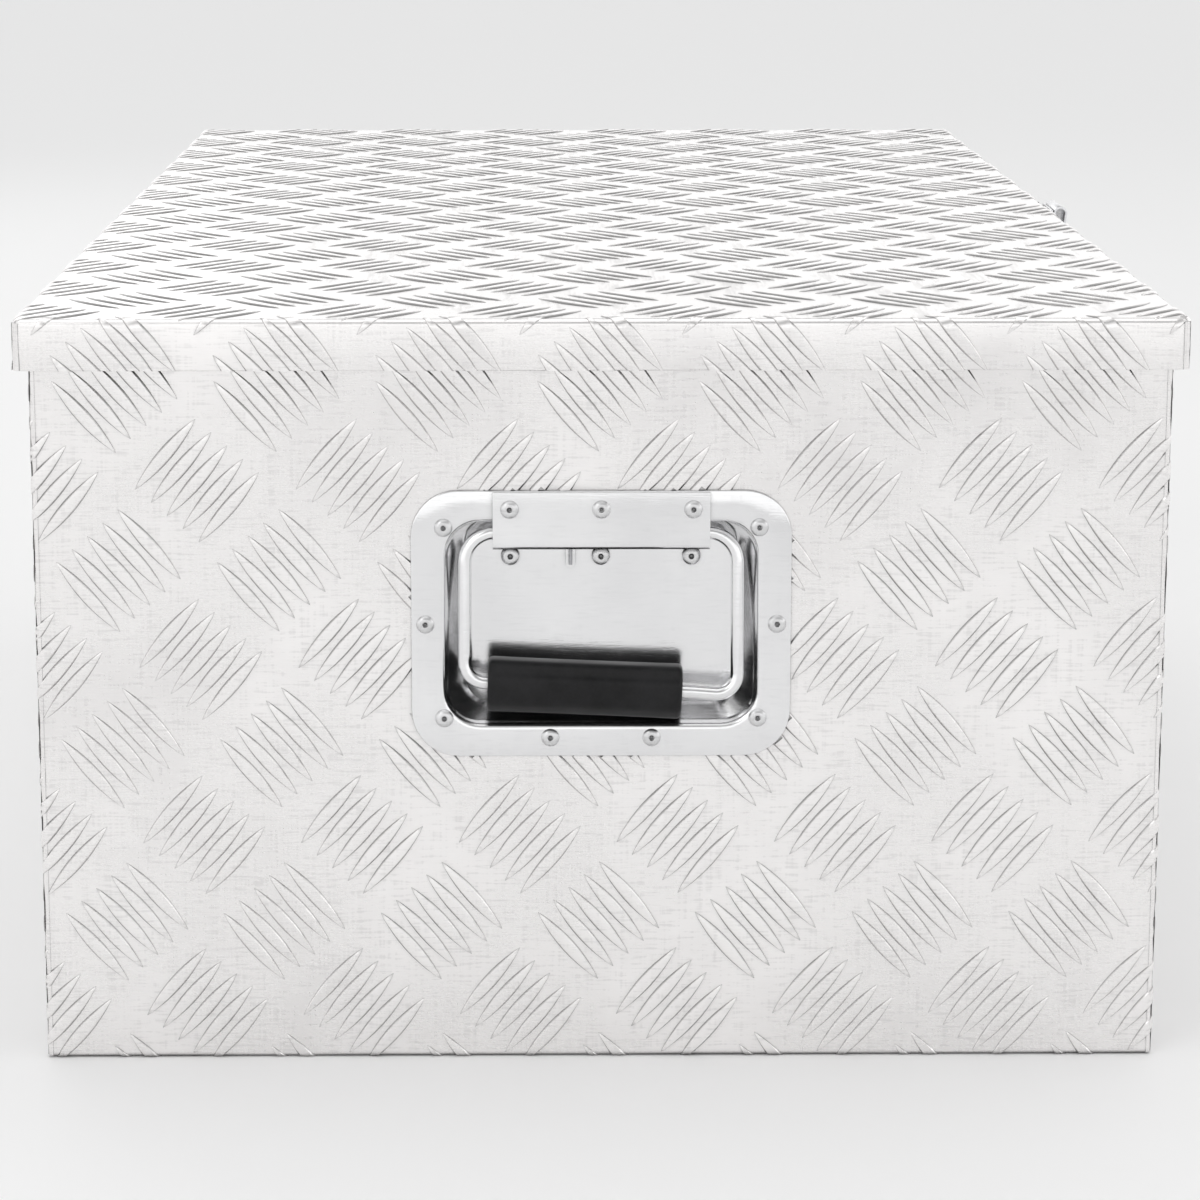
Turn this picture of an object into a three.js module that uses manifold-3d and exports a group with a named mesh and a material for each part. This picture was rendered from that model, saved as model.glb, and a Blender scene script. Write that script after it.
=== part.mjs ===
// Aluminium tread-plate truck tool box: welded body, hinged lid, sliding lid stays,
// draw latch at the front, sprung recessed handle at each end.
// Millimetres. +X is the front (latch side), -X the back (hinge side), Y runs along the
// box and +Z is up. The origin is the middle of the underside.

import * as THREE from 'three';
import { mergeVertices } from 'three/addons/utils/BufferGeometryUtils.js';
import Module from 'manifold-3d';

const wasm = await Module();
wasm.setup();

// ---------------------------------------------------------------- driving dimensions

const SHEET = 1.5; // thickness of the tread plate
const GAP = 0.3; // room left between pieces that touch

const LID = { width: 500, length: 900, top: 330, skirt: 22 };
const BODY = { width: 488, length: 888, rim: 324, lip: 14 };
const SEAL = { width: 11, height: 4, inset: 2 };

const HINGE = {
  x: -247.1, z: 304.5, length: 810, knuckles: 15,
  leaf: 1.1, drop: 25, rise: 19, outer: 2.8, bore: 1.65, pin: 1.2,
};

// The stay is an isosceles linkage: its two pivots lie equally far from the hinge, so the
// arm always turns through half the lid's angle and the post stays on the slot's line.
const STAY = {
  radius: 130, lidAngle: -3.75, spread: 30, openAngle: 95,
  plane: 424, thick: 2, width: 18, pivot: 3, post: 3.5, slot: 4.3, tail: 11,
};

const HANDLE = {
  middle: 196.4, plateWidth: 164.2, plateHeight: 117.6, plateRound: 20.5, plate: 1.2,
  mouth: { half: 67, low: 152.4, high: 241.2, round: 15 },
  floor: { half: 57, low: 160.5, high: 241, round: 10 },
  depth: 12,
};
const STRAP = { half: 46.75, top: 254.6, edge: 229.4, foot: 217.6, plate: 1.2 };
const BAIL = {
  wire: 3, axisZ: 235.6, axisOut: -4.8, leg: 59, bend: 13, turn: 9,
  gripZ: 168.5, gripOut: 2, skew: -2.5, splitX: 8,
};
const GRIP = { radius: 11.5, bore: 3.7, length: 84, shift: -7.2, chamfer: 1 };
const SPRING = { wire: 0.8, coil: 4.15, turns: 4, legX: -13.2, startX: 1, legEnd: 220 };
const RIVET = { head: 4, rise: 1.5, shank: 1.8, hole: 2.3, mandrel: 1.1, collar: 2.7, tail: 3.2 };

const LATCH = {
  pivotX: 252, pivotZ: 262, linkX: 251.5, linkZ: 249, thick: 1.4,
  baseHalf: 26, baseLow: 184, baseHigh: 286, cheekHalf: 22.7, cheekReach: 258,
  leverHalf: 20.1, leverLow: 192, leverFace: 262, webTop: 234, earRound: 5.7,
  clawHalf: 17, curlX: 258.2, curlZ: 326, curl: 3, hook: 6,
  pin: 2, stapleZ: 215, stapleX: 266, stapleHole: 3.5,
};
const KEEPER = { half: 20, low: 309.5, high: 327, lipX: 253.2, lipTop: 328, shelf: 316.5, plate: 1 };

// ---------------------------------------------------------------- materials

const FINISH = {
  tread: new THREE.MeshStandardMaterial({ color: 0xe9e8e8, roughness: 0.3, metalness: 1 }),
  stainless: new THREE.MeshStandardMaterial({ color: 0xd4d5d8, roughness: 0.28, metalness: 1 }),
  rivet: new THREE.MeshStandardMaterial({ color: 0xcfcfd1, roughness: 0.35, metalness: 1 }),
  springSteel: new THREE.MeshStandardMaterial({ color: 0x9a9ca0, roughness: 0.4, metalness: 1 }),
  grip: new THREE.MeshStandardMaterial({ color: 0x242426, roughness: 0.6, metalness: 0 }),
  seal: new THREE.MeshStandardMaterial({ color: 0x1a1a1b, roughness: 0.9, metalness: 0 }),
};

// ---------------------------------------------------------------- solids

const rad = THREE.MathUtils.degToRad;

function solidOf(geometry) {
  const bare = geometry.clone();
  bare.deleteAttribute('normal');
  bare.deleteAttribute('uv');
  const merged = mergeVertices(bare, 1e-4);
  return new wasm.Manifold(new wasm.Mesh({
    numProp: 3,
    vertProperties: new Float32Array(merged.attributes.position.array),
    triVerts: new Uint32Array(merged.index.array),
  }));
}

function geometryOf(solid) {
  const mesh = solid.getMesh();
  const geometry = new THREE.BufferGeometry();
  geometry.setAttribute('position', new THREE.BufferAttribute(mesh.vertProperties, 3));
  geometry.setIndex(new THREE.BufferAttribute(mesh.triVerts, 1));
  return geometry.toNonIndexed();
}

// A box between two corners.
function block(x0, x1, y0, y1, z0, z1) {
  const geometry = new THREE.BoxGeometry(x1 - x0, y1 - y0, z1 - z0);
  return geometry.translate((x0 + x1) / 2, (y0 + y1) / 2, (z0 + z1) / 2);
}

// A round bar between y0 and y1, parallel to Y.
function barY(x, z, radius, y0, y1, sides = 12) {
  const geometry = new THREE.CylinderGeometry(radius, radius, y1 - y0, sides);
  return geometry.translate(x, (y0 + y1) / 2, z);
}

// An outline drawn in X and Z, made into a plate from y0 to y1.
function plateXZ(shape, y0, y1, curveSegments = 4) {
  const settings = { depth: y1 - y0, bevelEnabled: false, curveSegments };
  const geometry = new THREE.ExtrudeGeometry(shape, settings);
  return geometry.rotateX(Math.PI / 2).translate(0, y1, 0);
}

function join(...geometries) {
  const solids = geometries.map(solidOf);
  return geometryOf(solids.reduce((whole, next) => whole.add(next)));
}

function cut(geometry, ...tools) {
  return geometryOf(tools.reduce((left, tool) => left.subtract(solidOf(tool)), solidOf(geometry)));
}

function mesh(name, geometry, material) {
  const made = new THREE.Mesh(geometry, material);
  made.name = name;
  return made;
}

function rectangle(x0, x1, z0, z1) {
  const shape = new THREE.Shape();
  shape.moveTo(x0, z0).lineTo(x1, z0).lineTo(x1, z1).lineTo(x0, z1).closePath();
  return shape;
}

// Points of a rectangle with round corners, anticlockwise from the lower right corner.
function roundedLoop({ half, low, high, round }, grow = 0, perCorner = 3) {
  const r = round + grow;
  const corners = [
    [half + grow - r, low - grow + r, -90], [half + grow - r, high + grow - r, 0],
    [-half - grow + r, high + grow - r, 90], [-half - grow + r, low - grow + r, 180],
  ];
  return corners.flatMap(([x, z, start]) => Array.from({ length: perCorner + 1 }, (_, i) => {
    const a = rad(start + (90 * i) / perCorner);
    return new THREE.Vector2(x + r * Math.cos(a), z + r * Math.sin(a));
  }));
}

// Closed skin through loops of equal length; each loop lies at its own y, capped at both ends.
function loft(loops) {
  const count = loops[0].points.length;
  const positions = [];
  const at = ({ points, y }, i) => [points[i % count].x, y, points[i % count].y];
  const cap = (loop, flip) => {
    for (let i = 1; i < count - 1; i += 1) {
      const fan = [at(loop, 0), at(loop, i), at(loop, i + 1)];
      positions.push(...(flip ? fan.reverse() : fan).flat());
    }
  };
  cap(loops[0], false);
  loops.slice(1).forEach((next, k) => {
    for (let i = 0; i < count; i += 1) {
      const [a, b, c, d] = [at(loops[k], i), at(loops[k], i + 1), at(next, i + 1), at(next, i)];
      positions.push(...a, ...c, ...b, ...a, ...d, ...c);
    }
  });
  cap(loops[loops.length - 1], true);
  const geometry = new THREE.BufferGeometry();
  geometry.setAttribute('position', new THREE.Float32BufferAttribute(positions, 3));
  return geometry;
}

// A wire of round section along a curve.
function wire(path, radius, steps, sides) {
  const section = new THREE.Shape();
  for (let i = 0; i < sides; i += 1) {
    const a = (2 * Math.PI * i) / sides;
    section[i ? 'lineTo' : 'moveTo'](radius * Math.cos(a), radius * Math.sin(a));
  }
  return new THREE.ExtrudeGeometry(section.closePath(), { steps, extrudePath: path });
}

// ---------------------------------------------------------------- where rivets go

const rivetSpots = [
  ...[-1, 1].flatMap((s) => [
    { x: 68 * s, z: 239, seat: 'plate' },
    { x: 76 * s, z: HANDLE.middle, seat: 'plate' },
    { x: 68 * s, z: 154.6, seat: 'plate' },
    { x: 22 * s, z: 145.9, seat: 'plate' },
  ]),
  ...[-39.5, 0, 39.5].map((x) => ({ x, z: 247.2, seat: 'strap' })),
];

const keeperRivets = [-13, 13].map((y) => ({ y, z: 312.8 }));

// A bar along Y big enough to clear a rivet's shank.
const rivetHole = ({ x, z }, y0, y1) => barY(x, z, RIVET.hole, y0, y1, 8);

// ---------------------------------------------------------------- body

const halfX = BODY.width / 2;
const halfY = BODY.length / 2;

function bottomPanel() {
  const x = halfX - SHEET - GAP;
  const y = halfY - SHEET - GAP;
  return mesh('bottom_panel', block(-x, x, -y, y, 0, SHEET), FINISH.tread);
}

// Front or back wall between the two ends, its upper edge folded in to make the rim.
function longWall(name, side) {
  const y = halfY - SHEET - GAP;
  const faces = [side * halfX, side * (halfX - SHEET)].sort((a, b) => a - b);
  const lip = [side * (halfX - SHEET / 2), side * (halfX - SHEET - BODY.lip)].sort((a, b) => a - b);
  const lipY = y - BODY.lip - GAP;
  const wall = block(...faces, -y, y, 0, BODY.rim);
  return mesh(name, join(wall, block(...lip, -lipY, lipY, BODY.rim - SHEET, BODY.rim)), FINISH.tread);
}

// End wall, drawn for the -Y end: cut out for the handle's pan and its rivets, rim folded in.
function endWall(name) {
  const outline = rectangle(-halfX, halfX, 0, BODY.rim);
  outline.holes.push(new THREE.Path(roundedLoop(HANDLE.mouth, 2.4).reverse()));
  const wall = plateXZ(outline, -halfY, -halfY + SHEET);
  const lipX = halfX - SHEET - GAP;
  const lip = block(-lipX, lipX, -halfY + SHEET / 2, -halfY + SHEET + BODY.lip, BODY.rim - SHEET, BODY.rim);
  const holes = rivetSpots.map((spot) => rivetHole(spot, -halfY - 1, -halfY + SHEET + 1));
  return mesh(name, cut(join(wall, lip), ...holes), FINISH.tread);
}

// ---------------------------------------------------------------- lid

function lidShell() {
  const x = LID.width / 2;
  const y = LID.length / 2;
  const z = LID.top;
  const outside = block(-x, x, -y, y, z - LID.skirt, z);
  const inside = block(-x + SHEET, x - SHEET, -y + SHEET, y - SHEET, z - LID.skirt - 1, z - SHEET);
  const holes = keeperRivets.map((spot) => new THREE.CylinderGeometry(RIVET.hole, RIVET.hole, 10, 8)
    .rotateZ(Math.PI / 2).translate(x, spot.y, spot.z));
  return mesh('lid_shell', cut(outside, inside, ...holes), FINISH.tread);
}

// Foam strip under the lid that closes on the rim.
function lidSeal() {
  const x = halfX - SEAL.inset;
  const y = halfY - SEAL.inset;
  const top = LID.top - SHEET - GAP;
  const low = top - SEAL.height + GAP;
  const w = SEAL.width;
  const ring = cut(block(-x, x, -y, y, low, top), block(-x + w, x - w, -y + w, y - w, low - 1, top + 1));
  return mesh('lid_seal', ring, FINISH.seal);
}

// ---------------------------------------------------------------- piano hinge

// One leaf with every second knuckle. dir is -1 for the leaf that hangs down on the body.
function hingeLeaf(name, dir, first, x0, x1, reach) {
  const { x, z, length, knuckles, outer, bore } = HINGE;
  const clear = outer + 0.4;
  const pitch = length / knuckles;
  const span = (a, b) => [z + dir * a, z + dir * b].sort((p, q) => p - q);
  const parts = [block(x0, x1, -length / 2, length / 2, ...span(clear, reach))];
  for (let k = first; k < knuckles; k += 2) {
    const y0 = -length / 2 + k * pitch + GAP;
    const y1 = y0 + pitch - 2 * GAP;
    parts.push(block(x0, x1, y0, y1, ...span(0, clear + 1)), barY(x, z, outer, y0, y1, 10));
  }
  const hole = barY(x, z, bore, -length, length, 8);
  return mesh(name, cut(join(...parts), hole), FINISH.stainless);
}

function hinge() {
  const { x, z, leaf, drop, rise, outer, length, pin } = HINGE;
  const bodyFace = -halfX - GAP;
  return {
    bodyLeaf: hingeLeaf('hinge_leaf_body', -1, 0, bodyFace - leaf, bodyFace, drop),
    lidLeaf: hingeLeaf('hinge_leaf_lid', 1, 1, x - leaf, x, rise),
    pin: mesh('hinge_pin', barY(x, z, pin, -length / 2 - outer / 2, length / 2 + outer / 2, 8), FINISH.stainless),
  };
}

// ---------------------------------------------------------------- lid stays

const stayPoint = (angle) => new THREE.Vector2(
  HINGE.x + STAY.radius * Math.cos(rad(angle)),
  HINGE.z + STAY.radius * Math.sin(rad(angle)),
);
const stayPivot = stayPoint(STAY.lidAngle); // on the lid
const stayPost = stayPoint(STAY.lidAngle - STAY.spread); // on the end wall
const chord = (degrees) => 2 * STAY.radius * Math.sin(rad(degrees / 2));

function capsule(from, to, radius, Kind = THREE.Path) {
  const along = to.clone().sub(from).angle();
  const shape = new Kind();
  shape.absarc(from.x, from.y, radius, along + Math.PI / 2, along - Math.PI / 2 + 2 * Math.PI, false);
  shape.absarc(to.x, to.y, radius, along - Math.PI / 2, along + Math.PI / 2, false);
  return shape.closePath();
}

// Arm hung from the lid, its slot running on the post; drawn for the -Y end.
function stayArm(name) {
  const { plane, thick, width, slot, tail, spread, openAngle } = STAY;
  const toward = stayPost.clone().sub(stayPivot).normalize();
  const along = (d) => stayPivot.clone().addScaledVector(toward, d);
  const open = chord(spread + openAngle);
  const shape = capsule(along(0), along(open + tail - width / 2 + slot), width / 2, THREE.Shape);
  const settled = plateXZ(shape, -plane - thick / 2, -plane + thick / 2, 6);
  const slotShape = capsule(along(chord(spread) - 4), along(open + 0.6), slot, THREE.Shape);
  const slotCut = plateXZ(slotShape, -plane - thick, -plane + thick, 5);
  const eye = barY(stayPivot.x, stayPivot.y, STAY.pivot + 0.5, -plane - thick, -plane + thick, 12);
  return mesh(name, cut(settled, slotCut, eye), FINISH.stainless);
}

// Bracket under the lid that carries the arm.
function stayBracket(name) {
  const { plane, thick, pivot } = STAY;
  const face = -plane + thick / 2 + GAP;
  const top = LID.top - SHEET - GAP;
  const half = 14;
  const tongue = new THREE.Shape();
  tongue.moveTo(stayPivot.x - half, top).lineTo(stayPivot.x - 8, stayPivot.y);
  tongue.absarc(stayPivot.x, stayPivot.y, 8, Math.PI, 2 * Math.PI, false);
  tongue.lineTo(stayPivot.x + half, top).closePath();
  const leg = plateXZ(tongue, face, face + thick, 4);
  const foot = block(stayPivot.x - half, stayPivot.x + half, face, face + 18, top - thick, top);
  const eye = barY(stayPivot.x, stayPivot.y, pivot + 0.5, face - 1, face + thick + 1, 12);
  return mesh(name, cut(join(leg, foot), eye), FINISH.stainless);
}

// Headed pin that joins the bracket and the arm.
function stayRivet(name) {
  const { plane, thick, pivot } = STAY;
  const outer = -plane - thick / 2 - GAP;
  const inner = -plane + (3 * thick) / 2 + 2 * GAP;
  const { x, y: z } = stayPivot;
  const shank = barY(x, z, pivot, outer - 1, inner + 1, 10);
  const heads = [barY(x, z, pivot + 2.5, outer - 1.2, outer, 10), barY(x, z, pivot + 2.5, inner, inner + 1.2, 10)];
  return mesh(name, join(shank, ...heads), FINISH.stainless);
}

// Shoulder post on the end wall, with a head that keeps the arm on.
function stayPostPiece(name) {
  const { plane, thick, post } = STAY;
  const wall = -halfY + SHEET + GAP;
  const armOuter = -plane - thick / 2 - GAP;
  const armInner = -plane + thick / 2 + GAP;
  const { x, y: z } = stayPost;
  return mesh(name, join(
    barY(x, z, 9, wall, wall + 1.5, 12),
    barY(x, z, 6, wall, armOuter, 12),
    barY(x, z, post, wall, armInner + 1, 12),
    barY(x, z, 7, armInner, armInner + 2, 12),
  ), FINISH.stainless);
}

// ---------------------------------------------------------------- handle, drawn at the -Y end

const out = (distance) => -halfY - distance; // Y of a point this far outside the end wall

function handleDish(name) {
  const { plateWidth, plateHeight, plateRound, plate, mouth, floor, depth, middle } = HANDLE;
  const rim = {
    half: plateWidth / 2, low: middle - plateHeight / 2, high: middle + plateHeight / 2, round: plateRound,
  };
  const front = out(GAP + plate);
  const skin = loft([
    { points: roundedLoop(floor), y: out(-depth) },
    { points: roundedLoop(mouth), y: front },
    { points: roundedLoop(rim), y: front },
    { points: roundedLoop(rim), y: out(GAP) },
    { points: roundedLoop(mouth, plate), y: out(GAP) },
    { points: roundedLoop(floor, plate), y: out(-depth - plate) },
  ]);
  const holes = rivetSpots.map((spot) => rivetHole(spot, front - 1, out(-1)));
  return mesh(name, cut(skin, ...holes), FINISH.stainless);
}

// Bridge over the bail's axle: riveted to the plate above and to the pan's floor below.
function handleStrap(name) {
  const { half, top, edge, foot, plate } = STRAP;
  const face = HANDLE.plate + 2 * GAP;
  const floor = -HANDLE.depth + GAP;
  const profile = new THREE.Shape();
  [
    [face + plate, top], [face, top], [face, edge + plate], [floor, edge + plate],
    [floor, foot], [floor + plate, foot], [floor + plate, edge], [face + plate, edge],
  ].forEach(([w, z], i) => profile[i ? 'lineTo' : 'moveTo'](w, z));
  // The profile is drawn outward and up, then turned so that it runs along X.
  const bar = new THREE.ExtrudeGeometry(profile.closePath(), { depth: 2 * half, bevelEnabled: false });
  const turn = new THREE.Matrix4().makeBasis(
    new THREE.Vector3(0, -1, 0), new THREE.Vector3(0, 0, 1), new THREE.Vector3(-1, 0, 0),
  );
  bar.applyMatrix4(turn).translate(half, -halfY, 0);
  const holes = rivetSpots.filter((spot) => spot.seat === 'strap')
    .map((spot) => rivetHole(spot, out(face + plate + 1), out(face - 1)));
  const { legX, wire: r } = SPRING;
  const notch = block(legX - 2 * r, legX + 2 * r, out(0), out(floor + plate), edge - 1, edge + plate + 1);
  return mesh(name, cut(bar, ...holes, notch), FINISH.stainless);
}

// The bail's centre line: a ring split inside the strap, with its lower run slightly skewed.
function bailPath() {
  const { axisZ, axisOut, leg, bend, turn, gripZ, gripOut, skew, splitX } = BAIL;
  const drop = axisZ - gripZ;
  const lean = (gripOut - axisOut) / drop;
  const slope = Math.tan(rad(skew));
  const point = (x, down) => new THREE.Vector3(x, out(axisOut + down * lean), axisZ - down);
  const lower = (x) => drop - slope * (x - GRIP.shift);
  const path = new THREE.CurvePath();
  const straight = (from, to) => path.add(new THREE.LineCurve3(from, to));
  const corner = (from, through, to) => path.add(new THREE.QuadraticBezierCurve3(from, through, to));
  const [head, side, foot] = [leg - bend, bend, leg - turn];
  straight(point(splitX + 0.5, 0), point(head, 0));
  corner(point(head, 0), point(leg, 0), point(leg, side));
  straight(point(leg, side), point(leg, lower(leg) - turn));
  corner(point(leg, lower(leg) - turn), point(leg, lower(leg)), point(foot, lower(foot)));
  straight(point(foot, lower(foot)), point(-foot, lower(-foot)));
  corner(point(-foot, lower(-foot)), point(-leg, lower(-leg)), point(-leg, lower(-leg) - turn));
  straight(point(-leg, lower(-leg) - turn), point(-leg, side));
  corner(point(-leg, side), point(-leg, 0), point(-head, 0));
  straight(point(-head, 0), point(splitX - 0.5, 0));
  return path;
}

const handleBail = (name) => mesh(name, wire(bailPath(), BAIL.wire, 52, 8), FINISH.stainless);

// Sleeve on the bail's lower run.
function handleGrip(name) {
  const { radius, bore, length, shift, chamfer } = GRIP;
  const h = length / 2;
  const profile = [
    [bore, -h], [radius - chamfer, -h], [radius, -h + chamfer],
    [radius, h - chamfer], [radius - chamfer, h], [bore, h], [bore, -h],
  ].map(([r, y]) => new THREE.Vector2(r, y));
  const sleeve = new THREE.LatheGeometry(profile, 14).rotateZ(-Math.PI / 2).rotateY(rad(-BAIL.skew));
  return mesh(name, sleeve.translate(shift, out(BAIL.gripOut), BAIL.gripZ), FINISH.grip);
}

// Torsion spring round the bail's axle; its leg lies on the strap's foot.
class SpringCurve extends THREE.Curve {
  getPoint(t, target = new THREE.Vector3()) {
    const { coil, turns, legX, startX, legEnd } = SPRING;
    const leg = BAIL.axisZ - legEnd;
    const wound = turns * 2 * Math.PI * coil;
    const s = t * (wound + leg);
    if (s > wound) return target.set(legX, out(BAIL.axisOut - coil), BAIL.axisZ - (s - wound));
    const u = s / wound;
    const a = 2 * Math.PI * turns * u;
    const x = startX + (legX - startX) * u;
    return target.set(x, out(BAIL.axisOut - coil * Math.cos(a)), BAIL.axisZ - coil * Math.sin(a));
  }
}

const handleSpring = (name) => mesh(name, wire(new SpringCurve(), SPRING.wire, 52, 6), FINISH.springSteel);

// Blind rivet: domed head with its mandrel hole outside, swelled tail inside.
// It is turned about Y, with its head towards +Y and the underside of the head at y 0.
function rivetGeometry(grip) {
  const { head, rise, shank, mandrel, collar, tail } = RIVET;
  const profile = [
    [0, -grip - tail], [collar, -grip - tail], [collar, -grip], [shank, -grip], [shank, 0],
    [head, 0], [head * 0.72, rise * 0.85], [mandrel, rise], [mandrel, rise * 0.4], [0, rise * 0.4],
  ].map(([r, y]) => new THREE.Vector2(r, y));
  return new THREE.LatheGeometry(profile, 8);
}

function handleRivets(tag) {
  return rivetSpots.map((spot, i) => {
    const seat = HANDLE.plate + 2 * GAP + (spot.seat === 'strap' ? STRAP.plate + GAP : 0);
    const piece = mesh(`rivet_${tag}_${String(i + 1).padStart(2, '0')}`,
      rivetGeometry(seat + SHEET + GAP), FINISH.rivet);
    piece.rotation.x = Math.PI; // head outward, towards -Y
    piece.position.set(spot.x, out(seat), spot.z);
    return piece;
  });
}

function handle(tag) {
  const group = new THREE.Group();
  group.add(
    handleDish(`handle_dish_${tag}`), handleStrap(`handle_strap_${tag}`), handleBail(`handle_bail_${tag}`),
    handleGrip(`handle_grip_${tag}`), handleSpring(`handle_spring_${tag}`), ...handleRivets(tag),
  );
  return group;
}

// Everything that both ends share, drawn at the -Y end.
function endAssembly(tag) {
  const group = new THREE.Group();
  group.add(endWall(`end_panel_${tag}`), handle(tag));
  return group;
}

// The stays are mirrored, not turned, because both hang behind the hinge's side.
function stay(tag, side) {
  const group = new THREE.Group();
  group.add(
    stayArm(`stay_arm_${tag}`), stayBracket(`stay_bracket_${tag}`),
    stayRivet(`stay_rivet_${tag}`), stayPostPiece(`stay_post_${tag}`),
  );
  group.scale.y = side;
  return group;
}

// ---------------------------------------------------------------- latch

function latchBase() {
  const { baseHalf, baseLow, baseHigh, thick, cheekHalf, cheekReach, pivotX, pivotZ } = LATCH;
  const x0 = halfX + GAP;
  const back = block(x0, x0 + thick, -baseHalf, baseHalf, baseLow, baseHigh);
  const cheek = new THREE.Shape();
  cheek.moveTo(x0, pivotZ - 13).lineTo(cheekReach, pivotZ - 5);
  cheek.lineTo(cheekReach, pivotZ + 5).lineTo(x0, pivotZ + 13).closePath();
  const cheeks = [-cheekHalf, cheekHalf - thick].map((y) => plateXZ(cheek, y, y + thick));
  const { stapleX, stapleZ, stapleHole } = LATCH;
  const staple = new THREE.Shape();
  staple.moveTo(x0, stapleZ - 7).lineTo(stapleX, stapleZ - 7);
  staple.absarc(stapleX, stapleZ, 7, -Math.PI / 2, Math.PI / 2, false);
  staple.lineTo(x0, stapleZ + 7).closePath();
  const eye = new THREE.Path();
  eye.absarc(stapleX, stapleZ, stapleHole, 0, 2 * Math.PI, true);
  staple.holes.push(eye);
  const solid = join(back, ...cheeks, plateXZ(staple, -1.5, 1.5, 5));
  const bore = barY(pivotX, pivotZ, LATCH.pin + 0.4, -baseHalf, baseHalf, 10);
  return mesh('latch_base', cut(solid, bore), FINISH.stainless);
}

// Channel-shaped lever: two ears that carry the pivots, a web below them, a flared finger tab.
function latchLever() {
  const { pivotX, pivotZ, linkX, linkZ, leverHalf, leverLow, leverFace, webTop, earRound, thick } = LATCH;
  const inner = pivotX - 5;
  const ear = new THREE.Shape();
  ear.moveTo(inner + 2, leverLow + 10).lineTo(leverFace + thick, leverLow + 10);
  ear.lineTo(leverFace + thick, webTop).lineTo(pivotX + earRound, pivotZ - 6);
  ear.lineTo(pivotX + earRound, pivotZ);
  ear.absarc(pivotX, pivotZ, earRound, 0, Math.PI * 0.86, false);
  ear.lineTo(inner, linkZ - 4).closePath();
  const ears = [-leverHalf, leverHalf - thick].map((y) => plateXZ(ear, y, y + thick, 4));
  const web = block(leverFace, leverFace + thick, -leverHalf, leverHalf, leverLow + 8, webTop);
  const tab = new THREE.Shape();
  tab.moveTo(leverFace, leverLow + 10).lineTo(leverFace + 7, leverLow);
  tab.lineTo(leverFace + 7 + thick, leverLow + 0.6).lineTo(leverFace + thick, leverLow + 11).closePath();
  const slot = block(leverFace - 1, leverFace + thick + 1, -2.6, 2.6, LATCH.stapleZ - 12, LATCH.stapleZ + 9);
  const bores = [
    barY(pivotX, pivotZ, LATCH.pin + 0.4, -leverHalf - 1, leverHalf + 1, 10),
    barY(linkX, linkZ, LATCH.pin + 0.4, -leverHalf - 1, leverHalf + 1, 10),
  ];
  const solid = join(...ears, web, plateXZ(tab, -leverHalf, leverHalf));
  return mesh('latch_lever', cut(solid, slot, ...bores), FINISH.stainless);
}

// Link plate with a knuckle at its foot and a hook curled over at its head.
function latchClaw() {
  const { linkX, linkZ, curlX, curlZ, curl, hook, thick, clawHalf, pin } = LATCH;
  const t = thick - 0.2;
  const r = curl + t / 2;
  const strip = new THREE.Shape();
  strip.moveTo(linkX, linkZ).lineTo(linkX + 2, linkZ).lineTo(curlX + r, curlZ);
  strip.absarc(curlX, curlZ, r, 0, Math.PI, false);
  strip.lineTo(curlX - r, curlZ - hook).lineTo(curlX - r + t, curlZ - hook).lineTo(curlX - r + t, curlZ);
  strip.absarc(curlX, curlZ, r - t, Math.PI, 0, true);
  strip.lineTo(linkX, linkZ + 3).closePath();
  const plate = plateXZ(strip, -clawHalf, clawHalf, 5);
  const knuckle = barY(linkX, linkZ, pin + 1.9, -clawHalf, clawHalf, 12);
  const bore = barY(linkX, linkZ, pin + 0.4, -clawHalf - 1, clawHalf + 1, 10);
  return mesh('latch_claw', cut(join(plate, knuckle), bore), FINISH.stainless);
}

function latchPins() {
  const { pivotX, pivotZ, linkX, linkZ, leverHalf, cheekHalf, thick, pin } = LATCH;
  const link = mesh('latch_link_pin', join(
    barY(linkX, linkZ, pin, -leverHalf - 0.8, leverHalf + 0.8, 10),
    barY(linkX, linkZ, pin + 0.9, -leverHalf - 0.8, -leverHalf - GAP, 10),
    barY(linkX, linkZ, pin + 0.9, leverHalf + GAP, leverHalf + 0.8, 10),
  ), FINISH.stainless);
  const inside = leverHalf - thick - GAP;
  const pivots = [['back', -1], ['front', 1]].map(([tag, s]) => {
    const span = (a, b) => [s * a, s * b].sort((p, q) => p - q);
    return mesh(`latch_pivot_${tag === 'back' ? 'near' : 'far'}`, join(
      barY(pivotX, pivotZ, pin, ...span(inside - 0.8, cheekHalf + GAP + 0.5), 10),
      barY(pivotX, pivotZ, pin + 1.3, ...span(inside - 0.8, inside), 10),
      barY(pivotX, pivotZ, pin + 1.5, ...span(cheekHalf + GAP, cheekHalf + GAP + 1.2), 10),
    ), FINISH.stainless);
  });
  return [link, ...pivots];
}

// Strike on the lid's skirt: its lower edge is turned out and up for the hook to catch.
function latchKeeper() {
  const { half, low, high, lipX, lipTop, shelf, plate } = KEEPER;
  const x0 = LID.width / 2 + GAP - 0.1;
  const solid = join(
    block(x0, x0 + plate, -half, half, low, high),
    block(x0, lipX + plate, -half + 3, half - 3, shelf, shelf + plate),
    block(lipX, lipX + plate, -half + 3, half - 3, shelf, lipTop),
  );
  const holes = keeperRivets.map((spot) => new THREE.CylinderGeometry(RIVET.hole, RIVET.hole, 20, 8)
    .rotateZ(Math.PI / 2).translate(x0, spot.y, spot.z));
  return mesh('latch_keeper', cut(solid, ...holes), FINISH.stainless);
}

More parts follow.
